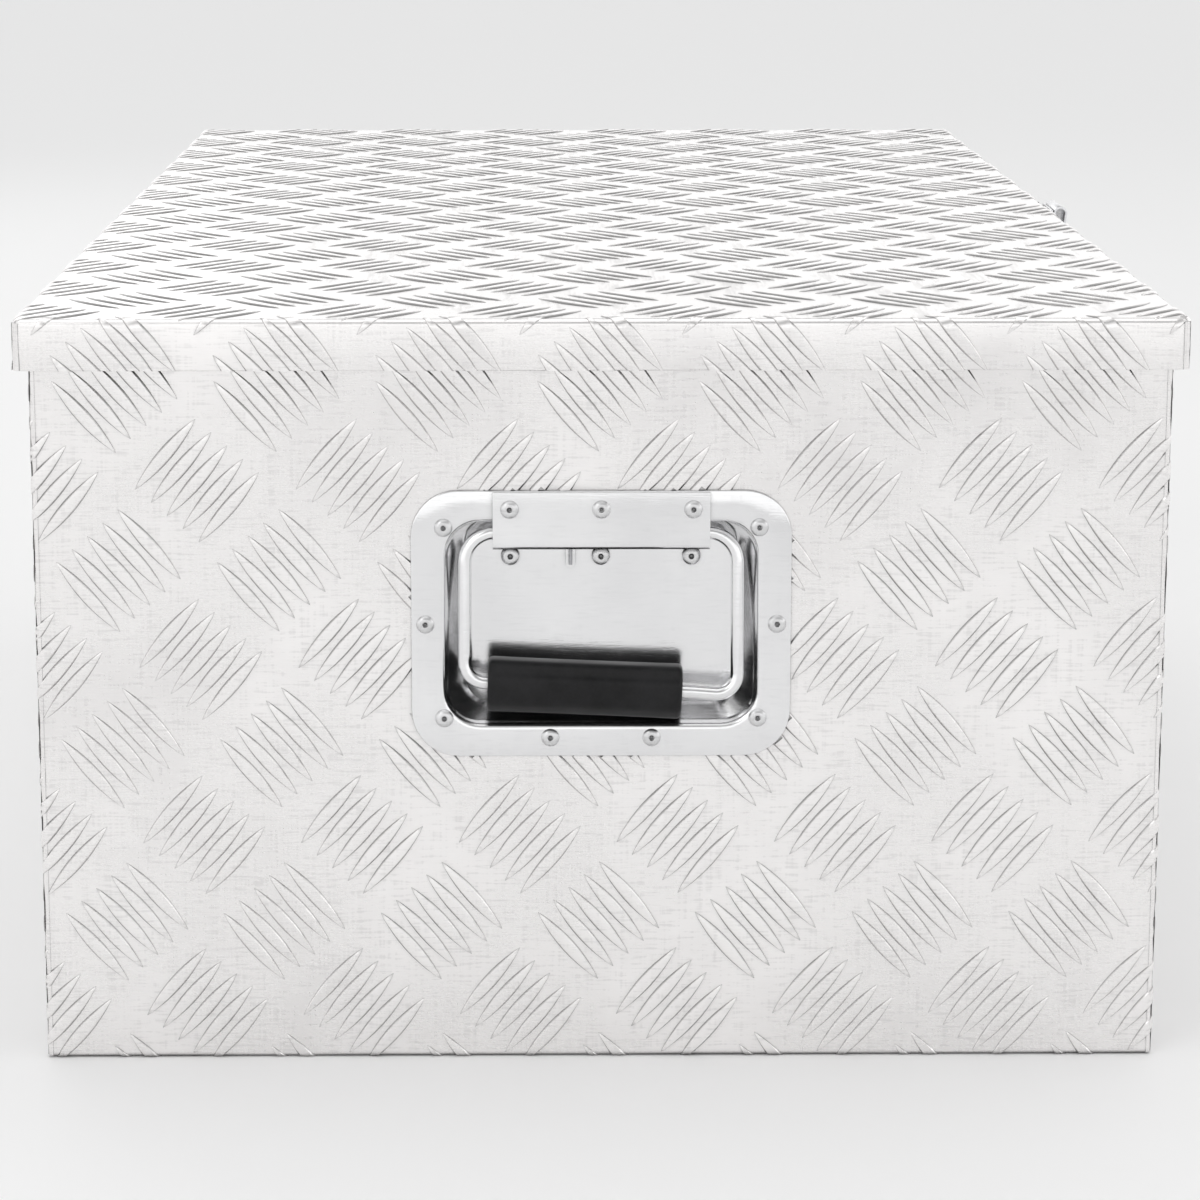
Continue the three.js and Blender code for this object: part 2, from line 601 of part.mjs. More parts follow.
function keeperRivetPieces() {
  const seat = LID.width / 2 + GAP - 0.1 + KEEPER.plate + GAP;
  return keeperRivets.map((spot, i) => {
    const piece = mesh(`rivet_keeper_${i + 1}`, rivetGeometry(seat - LID.width / 2 + SHEET + GAP), FINISH.rivet);
    piece.rotation.z = -Math.PI / 2; // head outward, towards +X
    piece.position.set(seat, spot.y, spot.z);
    piece.scale.set(0.8, 0.8, 0.8);
    return piece;
  });
}

// ---------------------------------------------------------------- assembly

const box = new THREE.Group();

const farEnd = endAssembly('far');
farEnd.rotation.z = Math.PI;

const { bodyLeaf, lidLeaf, pin } = hinge();

box.add(
  bottomPanel(), longWall('front_panel', 1), longWall('back_panel', -1), endAssembly('near'), farEnd,
  lidShell(), lidSeal(), bodyLeaf, lidLeaf, pin,
  stay('near', 1), stay('far', -1),
  latchBase(), latchLever(), latchClaw(), ...latchPins(), latchKeeper(), ...keeperRivetPieces(),
);

export default box;
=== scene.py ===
"""Looks of the aluminium tread-plate truck tool box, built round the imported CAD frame.

Sizes in this script are millimetres in the row frame: +X front, Y along the box, +Z up.
"""

import math
import random

import bmesh
import bpy
from mathutils import Matrix, Vector


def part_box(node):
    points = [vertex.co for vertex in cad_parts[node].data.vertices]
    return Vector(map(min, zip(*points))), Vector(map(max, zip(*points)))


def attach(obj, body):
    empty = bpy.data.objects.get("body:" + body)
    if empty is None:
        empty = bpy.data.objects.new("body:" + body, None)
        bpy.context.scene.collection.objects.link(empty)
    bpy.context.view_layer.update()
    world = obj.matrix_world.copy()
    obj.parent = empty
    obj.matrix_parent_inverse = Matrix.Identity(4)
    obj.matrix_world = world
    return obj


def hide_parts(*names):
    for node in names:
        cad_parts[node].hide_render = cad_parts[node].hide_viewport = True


MM = 0.001
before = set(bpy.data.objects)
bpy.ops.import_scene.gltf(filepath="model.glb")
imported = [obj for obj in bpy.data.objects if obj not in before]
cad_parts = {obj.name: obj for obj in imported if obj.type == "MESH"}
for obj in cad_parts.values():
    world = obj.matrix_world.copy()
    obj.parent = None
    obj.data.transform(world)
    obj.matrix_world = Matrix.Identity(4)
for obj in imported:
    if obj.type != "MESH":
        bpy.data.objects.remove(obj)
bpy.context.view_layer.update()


# ---------------------------------------------------------------- camera and light

CAMERA_AT = Vector((-0.0296, -1.9347, 0.5421))
CAMERA_PITCH = math.radians(11.12)
CAMERA_YAW = math.radians(0.52)
CAMERA_LENS = 106.1
CAMERA_SHIFT = (0.03, -0.08)
SENSOR_WIDTH = 36
CLIP_RANGE = (0.05, 60)

# sky brightness from straight down (0) to straight up (1); the darker band gives the metal contrast
SKY_BELOW, SKY_HORIZON = (0.3, 0.7), (0.5, 0.97)
SKY_ABOVE = ((0.66, 1.0), (0.75, 0.42), (0.86, 0.3), (0.94, 0.85), (1.0, 0.95))
SKY_STRENGTH = 1.28

# name, place, target, size in metres, power in watts
LIGHTS = (
    ("key", (-1.9, -2.4, 2.3), (0, -0.2, 0.15), (1.8, 1.4), 12),
    ("side", (2.6, -0.6, 1.6), (0.1, 0, 0.15), (1.6, 1.6), 6),
    ("overhead", (0, 0.3, 2.6), (0, 0, 0.2), (2.2, 2.6), 5),
    ("rear", (-1.2, 2.6, 1.7), (0, 0.2, 0.15), (1.8, 1.4), 5),
)

FLOOR_HALF, FLOOR_DROP, FLOOR_TONE = 14.0, 0.0002, 0.93


def add_camera():
    data = bpy.data.cameras.new("camera")
    data.lens = CAMERA_LENS
    data.sensor_width = SENSOR_WIDTH
    data.shift_x, data.shift_y = CAMERA_SHIFT
    data.clip_start, data.clip_end = CLIP_RANGE
    camera = bpy.data.objects.new("camera", data)
    camera.location = CAMERA_AT
    camera.rotation_euler = (math.pi / 2 - CAMERA_PITCH, 0, -CAMERA_YAW)
    bpy.context.scene.collection.objects.link(camera)
    bpy.context.scene.camera = camera


def add_area_light(name, at, target, size, power):
    data = bpy.data.lights.new(name, "AREA")
    data.shape = "RECTANGLE"
    data.size, data.size_y = size
    data.energy = power
    light = bpy.data.objects.new(name, data)
    light.location = at
    direction = Vector(target) - Vector(at)
    light.rotation_euler = direction.to_track_quat("-Z", "Y").to_euler()
    bpy.context.scene.collection.objects.link(light)


def add_studio():
    world = bpy.data.worlds.new("studio")
    bpy.context.scene.world = world
    world.use_nodes = True
    nodes, links = world.node_tree.nodes, world.node_tree.links
    background = nodes["Background"]
    where = nodes.new("ShaderNodeTexCoord")
    split = nodes.new("ShaderNodeSeparateXYZ")
    ramp = nodes.new("ShaderNodeValToRGB")
    remap = nodes.new("ShaderNodeMapRange")
    remap.inputs["From Min"].default_value = -1
    links.new(where.outputs["Generated"], split.inputs[0])
    links.new(split.outputs["Z"], remap.inputs["Value"])
    links.new(remap.outputs["Result"], ramp.inputs["Fac"])
    stops = ramp.color_ramp.elements
    for stop, (position, value) in zip(stops, (SKY_BELOW, SKY_HORIZON)):
        stop.position, stop.color = position, (value, value, value, 1)
    for position, value in SKY_ABOVE:
        stop = ramp.color_ramp.elements.new(position)
        stop.color = (value, value, value, 1)
    links.new(ramp.outputs["Color"], background.inputs["Color"])
    background.inputs["Strength"].default_value = SKY_STRENGTH
    bpy.context.scene.view_settings.view_transform = "Standard"
    for light in LIGHTS:
        add_area_light(*light)


def add_floor():
    mesh = bpy.data.meshes.new("floor")
    half = FLOOR_HALF
    corners = [(-half, -half, 0), (half, -half, 0), (half, half, 0), (-half, half, 0)]
    mesh.from_pydata(corners, [], [(0, 1, 2, 3)])
    floor = bpy.data.objects.new("floor", mesh)
    floor.location.z = -FLOOR_DROP
    bpy.context.scene.collection.objects.link(floor)
    material = bpy.data.materials.new("pale_floor")
    material.use_nodes = True
    shader = material.node_tree.nodes["Principled BSDF"]
    shader.inputs["Base Color"].default_value = (FLOOR_TONE, FLOOR_TONE, FLOOR_TONE, 1)
    shader.inputs["Roughness"].default_value = 0.75
    mesh.materials.append(material)


# ---------------------------------------------------------------- materials

class Nodes:
    """Small helper that builds a node tree for one material."""

    def __init__(self, name):
        self.material = bpy.data.materials.new(name)
        self.material.use_nodes = True
        self.nodes = self.material.node_tree.nodes
        self.links = self.material.node_tree.links
        self.shader = self.nodes["Principled BSDF"]
        self.coords = self.nodes.new("ShaderNodeTexCoord").outputs["Object"]

    def link(self, source, target):
        self.links.new(source, target)

    def stretched(self, scale):
        node = self.nodes.new("ShaderNodeMapping")
        node.inputs["Scale"].default_value = scale
        self.link(self.coords, node.inputs["Vector"])
        return node.outputs["Vector"]

    def noise(self, scale, detail=3, rough=0.55, vector=None):
        node = self.nodes.new("ShaderNodeTexNoise")
        node.inputs["Scale"].default_value = scale
        node.inputs["Detail"].default_value = detail
        node.inputs["Roughness"].default_value = rough
        self.link(vector or self.coords, node.inputs["Vector"])
        return node.outputs["Fac"]

    def spread(self, value, low, high, start=0.3, end=0.7):
        node = self.nodes.new("ShaderNodeMapRange")
        for key, number in (("From Min", start), ("From Max", end), ("To Min", low), ("To Max", high)):
            node.inputs[key].default_value = number
        self.link(value, node.inputs["Value"])
        return node.outputs["Result"]

    def tones(self, value, dark, light, start=0.3, end=0.7):
        node = self.nodes.new("ShaderNodeValToRGB")
        stops = node.color_ramp.elements
        stops[0].position, stops[0].color = start, (*dark, 1)
        stops[1].position, stops[1].color = end, (*light, 1)
        self.link(value, node.inputs["Fac"])
        return node.outputs["Color"]

    def add(self, a, b, weight):
        node = self.nodes.new("ShaderNodeMath")
        node.operation = "MULTIPLY_ADD"
        self.link(b, node.inputs[0])
        node.inputs[1].default_value = weight
        self.link(a, node.inputs[2])
        return node.outputs["Value"]

    def darken(self, color, mask, shade):
        node = self.nodes.new("ShaderNodeMix")
        node.data_type = "RGBA"
        self.link(mask, node.inputs["Factor"])
        self.link(color, node.inputs[6])
        node.inputs[7].default_value = (*shade, 1)
        return node.outputs[2]

    def bump(self, height, strength, distance):
        node = self.nodes.new("ShaderNodeBump")
        node.inputs["Strength"].default_value = strength
        node.inputs["Distance"].default_value = distance
        self.link(height, node.inputs["Height"])
        self.link(node.outputs["Normal"], self.shader.inputs["Normal"])

    def scratches(self, amount=0.66):
        """Sparse thin streaks in two directions, from stretched noise."""
        one = self.noise(1, 2, 0.5, self.stretched((90, 14, 900)))
        two = self.noise(1, 2, 0.5, self.stretched((700, 60, 40)))
        return self.spread(self.add(one, two, 0.5), 0, 1, amount + 0.14, amount + 0.3)


def metal(name, dark, light, rough, grain=(160, 160, 2200), grain_depth=0.00003, scuffs=0.25):
    """Bright rolled or pressed metal: grain, cloudy tarnish, scuffs, varied gloss, and painted shade in
    creases and crevices.
    """
    n = Nodes(name)
    cloud = n.noise(9, 4, 0.6)
    fine = n.noise(1, 3, 0.6, n.stretched(grain))
    speck = n.noise(1400, 2, 0.5)
    scratch = n.scratches()
    color = n.tones(n.add(cloud, fine, 0.25), dark, light, 0.35, 0.8)
    color = n.darken(color, n.spread(scratch, 0, scuffs, 0, 1), tuple(0.6 * c for c in dark))
    # This vertex attribute holds painted shade: dark lines along bar feet and seam edges, in rivet hollows
    # and under rivet heads.
    painted_shade = n.nodes.new("ShaderNodeAttribute")
    painted_shade.attribute_name = "painted_shade"
    # Ambient occlusion darkens gaps and crevices in the base colour: painted shade.
    crevice_shade = n.nodes.new("ShaderNodeAmbientOcclusion")
    crevice_shade.samples = 4
    crevice_shade.inputs["Distance"].default_value = 0.0035
    # Darkening mask: cloudy tarnish plus painted shade from the attribute and from the occlusion.
    tarnish_and_shade = n.add(n.spread(cloud, -0.25, 0.15), painted_shade.outputs["Fac"], 1.0)
    tarnish_and_shade = n.add(tarnish_and_shade, n.spread(crevice_shade.outputs["AO"], 0.9, 0, 0.35, 0.9), 1.0)
    color = n.darken(color, n.spread(tarnish_and_shade, 0, 1, 0.1, 1.0), tuple(0.33 * c for c in dark))
    n.link(color, n.shader.inputs["Base Color"])
    roughness = n.spread(n.add(n.add(cloud, fine, 0.5), scratch, 0.2), rough[0], rough[1], 0.4, 1.1)
    n.link(roughness, n.shader.inputs["Roughness"])
    n.shader.inputs["Metallic"].default_value = 1.0
    n.bump(n.add(n.add(fine, speck, 0.35), scratch, -0.6), 0.5, grain_depth)
    return n.material


def moulded(name, dark, light, rough, grain_scale, depth):
    """Moulded plastic or foam: fine pebbled surface with rubbed, slightly paler patches."""
    n = Nodes(name)
    cloud = n.noise(60, 4, 0.6)
    pebble = n.noise(grain_scale, 3, 0.6)
    n.link(n.tones(n.add(cloud, pebble, 0.3), dark, light, 0.45, 0.85), n.shader.inputs["Base Color"])
    n.link(n.spread(n.add(cloud, pebble, 0.4), rough[0], rough[1], 0.4, 1.0), n.shader.inputs["Roughness"])
    n.bump(pebble, 0.6, depth)
    n.shader.inputs["Specular IOR Level"].default_value = 0.22
    return n.material


def make_materials():
    fine = (900, 900, 900)
    return {
        "tread_plate": metal(
            "tread_aluminium", (0.8, 0.785, 0.782), (0.94, 0.925, 0.918), (0.2, 0.36)),
        "bright_steel": metal(
            "bright_steel", (0.6, 0.605, 0.62), (0.76, 0.765, 0.78), (0.2, 0.34)),
        "handle_steel": metal(
            "handle_steel", (0.74, 0.74, 0.75), (0.88, 0.88, 0.885), (0.1, 0.22), scuffs=0.08),
        "rivet_alloy": metal(
            "rivet_alloy", (0.6, 0.6, 0.605), (0.78, 0.78, 0.785), (0.28, 0.42), fine),
        "spring_steel": metal(
            "spring_wire", (0.3, 0.3, 0.31), (0.5, 0.5, 0.52), (0.25, 0.4), fine),
        "grip_plastic": moulded(
            "grip_plastic", (0.003, 0.003, 0.0034), (0.012, 0.012, 0.013), (0.3, 0.46), 900, 0.00004),
        "seal_foam": moulded(
            "seal_foam", (0.012, 0.012, 0.013), (0.035, 0.035, 0.036), (0.75, 0.95), 1500, 0.0003),
    }


MATERIALS = make_materials()


# ---------------------------------------------------------------- mesh helpers

WELD_DISTANCE = 0.000002
BEVEL_ANGLE = 40


class Shape:
    """Vertices and faces in millimetres, gathered before they become one piece."""

    def __init__(self):
        # Each vertex also carries a painted-shade weight; piece() stores it as a mesh attribute that darkens
        # the metal's base colour.
        self.verts, self.faces, self.painted_shade = [], [], []

    def add(self, verts, faces, painted_shade=None):
        start = len(self.verts)
        self.verts += [tuple(v) for v in verts]
        self.faces += [tuple(i + start for i in face) for face in faces]
        self.painted_shade += painted_shade or [0.0] * len(verts)
        return self

    def merge(self, other, matrix=None):
        moved = [tuple(matrix @ Vector(v)) for v in other.verts] if matrix else other.verts
        return self.add(moved, other.faces, list(other.painted_shade))

    def turned(self, matrix):
        return Shape().merge(self, matrix)

    def piece(self, name, body, slot, *replaced, smooth=35, bevel=0.0):
        mesh = bpy.data.meshes.new(name)
        mesh.from_pydata([tuple(MM * c for c in v) for v in self.verts], [], self.faces)
        mesh.attributes.new("painted_shade", "FLOAT", "POINT").data.foreach_set("value", self.painted_shade)
        mesh.validate()
        bm = bmesh.new()
        bm.from_mesh(mesh)
        bmesh.ops.remove_doubles(bm, verts=bm.verts, dist=WELD_DISTANCE)
        bmesh.ops.recalc_face_normals(bm, faces=bm.faces)
        if bevel:
            sharp = [e for e in bm.edges
                     if len(e.link_faces) == 2 and e.calc_face_angle(0) > math.radians(BEVEL_ANGLE)]
            bmesh.ops.bevel(
                bm, geom=sharp, offset=bevel * MM, segments=2, profile=0.5,
                affect="EDGES", clamp_overlap=True,
            )
        limit = math.radians(smooth)
        for edge in bm.edges:
            edge.smooth = len(edge.link_faces) != 2 or edge.calc_face_angle(0) < limit
        for face in bm.faces:
            face.smooth = True
        bm.to_mesh(mesh)
        bm.free()
        mesh.materials.append(MATERIALS[slot])
        piece = bpy.data.objects.new(name, mesh)
        bpy.context.scene.collection.objects.link(piece)
        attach(piece, body)
        if replaced:
            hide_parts(*replaced)
        return piece


def arc(cx, cy, radius, start, end, steps):
    """Points on an arc; angles in degrees."""
    turns = [math.radians(start + (end - start) * i / steps) for i in range(steps + 1)]
    return [(cx + radius * math.cos(a), cy + radius * math.sin(a)) for a in turns]


def prism(outline, lay, a, b, holes=()):
    """A plate: an outline with holes, laid in space by lay(p, q, depth), from depth a to b."""
    bm = bmesh.new()
    for loop in (outline, *holes):
        verts = [bm.verts.new((p, q, 0)) for p, q in loop]
        for i, vert in enumerate(verts):
            bm.edges.new((vert, verts[(i + 1) % len(verts)]))
    bmesh.ops.triangle_fill(bm, edges=bm.edges, use_beauty=True, use_dissolve=False)
    bmesh.ops.recalc_face_normals(bm, faces=bm.faces)
    made = bmesh.ops.extrude_face_region(bm, geom=list(bm.faces))
    top = {v for v in made["geom"] if isinstance(v, bmesh.types.BMVert)}
    for vert in top:
        vert.co.z = 1
    bmesh.ops.recalc_face_normals(bm, faces=bm.faces)
    bmesh.ops.dissolve_limit(bm, angle_limit=0.001, verts=bm.verts, edges=bm.edges)
    bm.verts.index_update()
    verts = [lay(v.co.x, v.co.y, b if v.co.z > 0.5 else a) for v in bm.verts]
    faces = [[v.index for v in f.verts] for f in bm.faces]
    bm.free()
    return Shape().add(verts, faces)


def lay_xz(p, q, depth):
    return (p, depth, q)


def lay_yz(p, q, depth):
    return (depth, p, q)


def lay_xy(p, q, depth):
    return (p, q, depth)


def tube(path, radius, sides=14, closed=False):
    """A round wire along points, carried by turning frames, with flat ends."""
    points = [Vector(p) for p in path]
    count = len(points)
    ahead = []
    for i in range(count):
        before = points[(i - 1) % count] if closed or i else points[0]
        after = points[(i + 1) % count] if closed or i < count - 1 else points[-1]
        ahead.append((after - before).normalized())
    side = ahead[0].orthogonal().normalized()
    verts = []
    for i, point in enumerate(points):
        side = (side - ahead[i] * side.dot(ahead[i])).normalized()
        up = ahead[i].cross(side)
        for k in range(sides):
            a = 2 * math.pi * k / sides
            verts.append(point + radius * (math.cos(a) * side + math.sin(a) * up))
    faces = []
    for i in range(count if closed else count - 1):
        j = (i + 1) % count
        for k in range(sides):
            m = (k + 1) % sides
            faces.append((i * sides + k, i * sides + m, j * sides + m, j * sides + k))
    if not closed:
        faces += [tuple(range(sides)), tuple((count - 1) * sides + k for k in range(sides))]
    return Shape().add(verts, faces)


def lathe(profile, matrix, sides=24):
    """A turned part: (radius, height) points round local Z, placed by matrix."""
    verts, faces, rings = [], [], []
    for radius, height in profile:
        if radius < 1e-6:
            rings.append([len(verts)])
            verts.append((0, 0, height))
            continue
        rings.append(list(range(len(verts), len(verts) + sides)))
        for k in range(sides):
            a = 2 * math.pi * k / sides
            verts.append((radius * math.cos(a), radius * math.sin(a), height))
    for low, high in zip(rings, rings[1:]):
        for k in range(sides):
            m = (k + 1) % sides
            corner = [low[k % len(low)], low[m % len(low)], high[m % len(high)], high[k % len(high)]]
            face = list(dict.fromkeys(corner))
            if len(face) > 2:
                faces.append(face)
    return Shape().add([tuple(matrix @ Vector(v)) for v in verts], faces)


def along_y(x, y, z):
    """Places local Z along +Y."""
    return Matrix.Translation((x, y, z)) @ Matrix.Rotation(-math.pi / 2, 4, "X")


def pin(x, z, y0, y1, radius, sides=20, chamfer=0.3):
    """A round pin parallel to Y with chamfered ends."""
    length = y1 - y0
    profile = [
        (0, 0), (radius - chamfer, 0), (radius, chamfer),
        (radius, length - chamfer), (radius - chamfer, length), (0, length),
    ]
    return lathe(profile, along_y(x, y0, z), sides)


# ---------------------------------------------------------------- tread plate

PITCH_U, PITCH_V = 69.0, 78.8
BAR_LENGTH, BAR_HALF, BAR_RISE, BAR_STEP = 42.0, 3.2, 1.0, 8.85
BAR_ANGLE = 49.2
BAR_SINK = 0.15  # the bars' feet stand this far inside the sheet
BARS_EACH_SIDE = 2


class Sheet:
    """A flat field with folded edges. (u, v) run along the sheet, h stands off its outer face."""

    def __init__(self, origin, u_axis, v_axis, half_u, low_v, high_v, fold, skirts):
        self.origin, self.u_axis, self.v_axis = Vector(origin), Vector(u_axis), Vector(v_axis)
        self.normal = self.u_axis.cross(self.v_axis)
        self.fold = fold
        self.limits = ((-half_u, half_u), (low_v, high_v))
        # how far the sheet goes on past each fold's start: (-u, +u, -v, +v)
        self.skirts = skirts

    def bend(self, value, low, high):
        """Where a coordinate lands: along the field, below it, and how far it has turned."""
        over = low - value if value < low else value - high if value > high else 0.0
        sign = -1 if value < low else 1
        if not over:
            return value, 0.0, 0.0, sign
        edge = low if sign < 0 else high
        quarter = self.fold * math.pi / 2
        if over < quarter:
            turn = over / self.fold
            return edge + sign * self.fold * math.sin(turn), self.fold * (1 - math.cos(turn)), turn, sign
        return edge + sign * self.fold, self.fold + over - quarter, math.pi / 2, sign

    def place(self, u, v, h):
        (u0, u1), (v0, v1) = self.limits
        corner = (u < u0 or u > u1) and (v < v0 or v > v1)
        if corner:  # two folds meet here, so the bar sinks under the corner's seam
            h = -0.3
            u = min(max(u, u0), u1)
        pu, du, tu, su = self.bend(u, u0, u1)
        pv, dv, tv, sv = self.bend(v, v0, v1)
        outward = self.normal * (math.cos(tu) * math.cos(tv))
        outward += self.u_axis * (su * math.sin(tu)) + self.v_axis * (sv * math.sin(tv))
        return self.origin + self.u_axis * pu + self.v_axis * pv - self.normal * (du + dv) + outward * h

    def edges(self):
        (u0, u1), (v0, v1) = self.limits
        s = self.skirts
        return u0 - s[0], u1 + s[1], v0 - s[2], v1 + s[3]


def bar_mesh(bm, centre, angle, stations):
    """One lens-shaped raised bar in flat (u, v, h) space, closed underneath."""
    along = Vector((math.cos(angle), math.sin(angle)))
    across = Vector((-along.y, along.x))
    columns = (-1, -0.7, 0, 0.7, 1)
    painted_shade = bm.verts.layers.float["painted_shade"]
    rows = []
    for i in range(stations + 1):
        t = -1 + 2 * i / stations
        taper = 1 - t * t
        if taper < 1e-9:
            p = centre + along * (t * BAR_LENGTH / 2)
            rows.append([bm.verts.new((p.x, p.y, -BAR_SINK))])
            # painted shade at the tip, where the bar's foot meets the sheet
            rows[-1][0][painted_shade] = 0.8
            continue
        row = []
        for w in columns:
            p = centre + along * (t * BAR_LENGTH / 2) + across * (w * BAR_HALF * taper)
            rise = BAR_RISE * (1 - 0.35 * w * w) * taper ** 0.4
            row.append(bm.verts.new((p.x, p.y, rise if abs(w) < 1 else -BAR_SINK)))
            # painted shade along the bar's foot, a dark line where it meets the sheet; none on its crown
            row[-1][painted_shade] = 1.0 if abs(w) == 1 else 0.0
        rows.append(row)
    for low, high in zip(rows, rows[1:]):
        for k in range(4):
            face = list(dict.fromkeys([low[min(k, len(low) - 1)], high[min(k, len(high) - 1)],
                                       high[min(k + 1, len(high) - 1)], low[min(k + 1, len(low) - 1)]]))
            bm.faces.new(face)
    middle = rows[1:-1]
    outline = [rows[0][0], *[r[0] for r in middle], rows[-1][0], *[r[-1] for r in reversed(middle)]]
    bm.faces.new(outline)


def cells(low, high, start, pitch):
    return range(math.floor((low - start) / pitch) - 1, math.ceil((high - start) / pitch) + 2)


def tread_bars(sheet, falling, rising, masks=(), stations=10):
    """Every bar of the pattern on a sheet: cut at its free edges and carried round its folds.

    falling and rising are the centres of one cluster of each lean; masks are (u0, u1, v0, v1)
    fields that something covers, so the bars stop under its edge.
    """
    low_u, high_u, low_v, high_v = sheet.edges()
    (u0, u1), (v0, v1) = sheet.limits
    reach = BAR_LENGTH / 2
    bm = bmesh.new()
    # layer for the bars' painted shade along their feet
    painted_shade = bm.verts.layers.float.new("painted_shade")
    for (start_u, start_v), lean in ((falling, -1), (rising, 1)):
        angle = math.radians(lean * BAR_ANGLE)
        step = Vector((-math.sin(angle), math.cos(angle))) * BAR_STEP
        for i in cells(low_u, high_u, start_u, PITCH_U):
            for j in cells(low_v, high_v, start_v, PITCH_V):
                for k in range(-BARS_EACH_SIDE, BARS_EACH_SIDE + 1):
                    c = Vector((start_u + i * PITCH_U, start_v + j * PITCH_V)) + step * k
                    if not (low_u - reach < c.x < high_u + reach and low_v - reach < c.y < high_v + reach):
                        continue
                    if any(a + reach * 0.8 < c.x < b - reach * 0.8 and d + reach < c.y < e - reach
                           for a, b, d, e in masks):
                        continue
                    near = min(abs(c.x - u0), abs(c.x - u1), abs(c.y - v0), abs(c.y - v1)) < reach
                    bar_mesh(bm, c, angle, 2 * stations if near else stations)
    for at, normal in (((low_u, 0, 0), (-1, 0, 0)), ((high_u, 0, 0), (1, 0, 0)),
                       ((0, low_v, 0), (0, -1, 0)), ((0, high_v, 0), (0, 1, 0))):
        geometry = bm.verts[:] + bm.edges[:] + bm.faces[:]
        cut = bmesh.ops.bisect_plane(
            bm, geom=geometry, dist=1e-5, plane_co=at, plane_no=normal, clear_outer=True)
        edges = [e for e in cut["geom_cut"] if isinstance(e, bmesh.types.BMEdge) and len(e.link_faces) == 1]
        if edges:
            bmesh.ops.holes_fill(bm, edges=edges, sides=0)
    hidden = [v for v in bm.verts if any(a < v.co.x < b and c < v.co.y < d for a, b, c, d in masks)]
    bmesh.ops.delete(bm, geom=hidden, context="VERTS")
    bm.verts.index_update()
    verts = [tuple(sheet.place(*v.co)) for v in bm.verts]
    shape = Shape().add(verts, [[v.index for v in f.verts] for f in bm.faces], [v[painted_shade] for v in bm.verts])
    bm.free()
    return shape


# ---------------------------------------------------------------- lid

LID_X, LID_Y, LID_TOP, LID_LOW, SHEET_T, FOLD = 250.0, 450.0, 330.0, 308.0, 1.5, 2.6


def round_rect(half_x, half_y, radius, steps=5):
    corners = (
        (half_x - radius, -half_y + radius, -90), (half_x - radius, half_y - radius, 0),
        (-half_x + radius, half_y - radius, 90), (-half_x + radius, -half_y + radius, 180),
    )
    return [p for cx, cy, start in corners for p in arc(cx, cy, radius, start, start + 90, steps)]


def loft(loops):
    """Closed skin through loops of equal length, each a list of 3D points, capped at both ends."""
    count = len(loops[0])
    verts = [p for loop in loops for p in loop]
    faces = [tuple(range(count)), tuple((len(loops) - 1) * count + i for i in range(count))]
    for k in range(len(loops) - 1):
        for i in range(count):
            j = (i + 1) % count
            faces.append((k * count + i, k * count + j, (k + 1) * count + j, (k + 1) * count + i))
    return Shape().add(verts, faces)


def lid_tray():
    """The lid's folded tray: rounded outside folds, sheet thickness, open underneath."""
    loops = []

    def level(inset, z, radius):
        loops.append([(x, y, z) for x, y in round_rect(LID_X - inset, LID_Y - inset, radius)])

    turns = [math.radians(90 * i / 5) for i in range(6)]
    for a in reversed(turns):
        inset = FOLD * (1 - math.cos(a))
        level(inset, LID_TOP - FOLD * (1 - math.sin(a)), FOLD - inset * 0.6 + 0.2)
    level(0.0, LID_LOW + 0.3, FOLD + 0.2)
    level(0.25, LID_LOW, FOLD)
    level(SHEET_T - 0.25, LID_LOW, 1.4)
    level(SHEET_T, LID_LOW + 0.3, 1.3)
    inner = FOLD - SHEET_T
    for a in turns:
        inset = SHEET_T + inner * (1 - math.cos(a))
        level(inset, LID_TOP - FOLD + inner * math.sin(a), max(1.3 - inset + SHEET_T, 0.4))
    return loft(loops)


def corner_seam(x, y, z0, z1, radius, seed, reach=2.6):
    """A dressed corner weld: a slightly wavy upright band round the corner at (x, y)."""
    rng = random.Random(seed)
    sx, sy = math.copysign(1, x), math.copysign(1, y)
    steps = max(6, int((z1 - z0) / 5))
    loops = []
    for i in range(steps + 1):
        z = z0 + (z1 - z0) * i / steps
        wide = reach + 0.55 * math.sin(z / 6.3 + seed) + rng.uniform(-0.25, 0.25)
        proud = 0.28 + rng.uniform(-0.05, 0.05)
        profile = [(x - sx * wide, y), (x - sx * wide, y + sy * proud * 0.6)]
        profile += [(x - sx * (wide - 0.5), y + sy * proud)]
        for a in (0, 22.5, 45, 67.5, 90):
            t = math.radians(a)
            profile.append((x - sx * radius + sx * (radius + proud) * math.sin(t),
                            y - sy * radius + sy * (radius + proud) * math.cos(t)))
        profile += [(x + sx * proud, y - sy * (wide - 0.5)), (x + sx * proud * 0.6, y - sy * wide),
                    (x, y - sy * wide)]
        profile += [(x - sx * wide * 0.7, y - sy * wide * 0.7)]
        loops.append([(p, q, z) for p, q in profile])
    shape = loft(loops)
    ends = (0, 1, len(loops[0]) - 3, len(loops[0]) - 2)
    # Painted shade along the seam's edges, where it steps onto the sheet; the rest of the seam gets a faint
    # weight.
    shape.painted_shade = [1.0 if i % len(loops[0]) in ends else 0.1 for i in range(len(shape.verts))]
    return shape


KEEPER_FIELD = (-21.5, 21.5)  # the keeper covers this stretch of the lid's front skirt


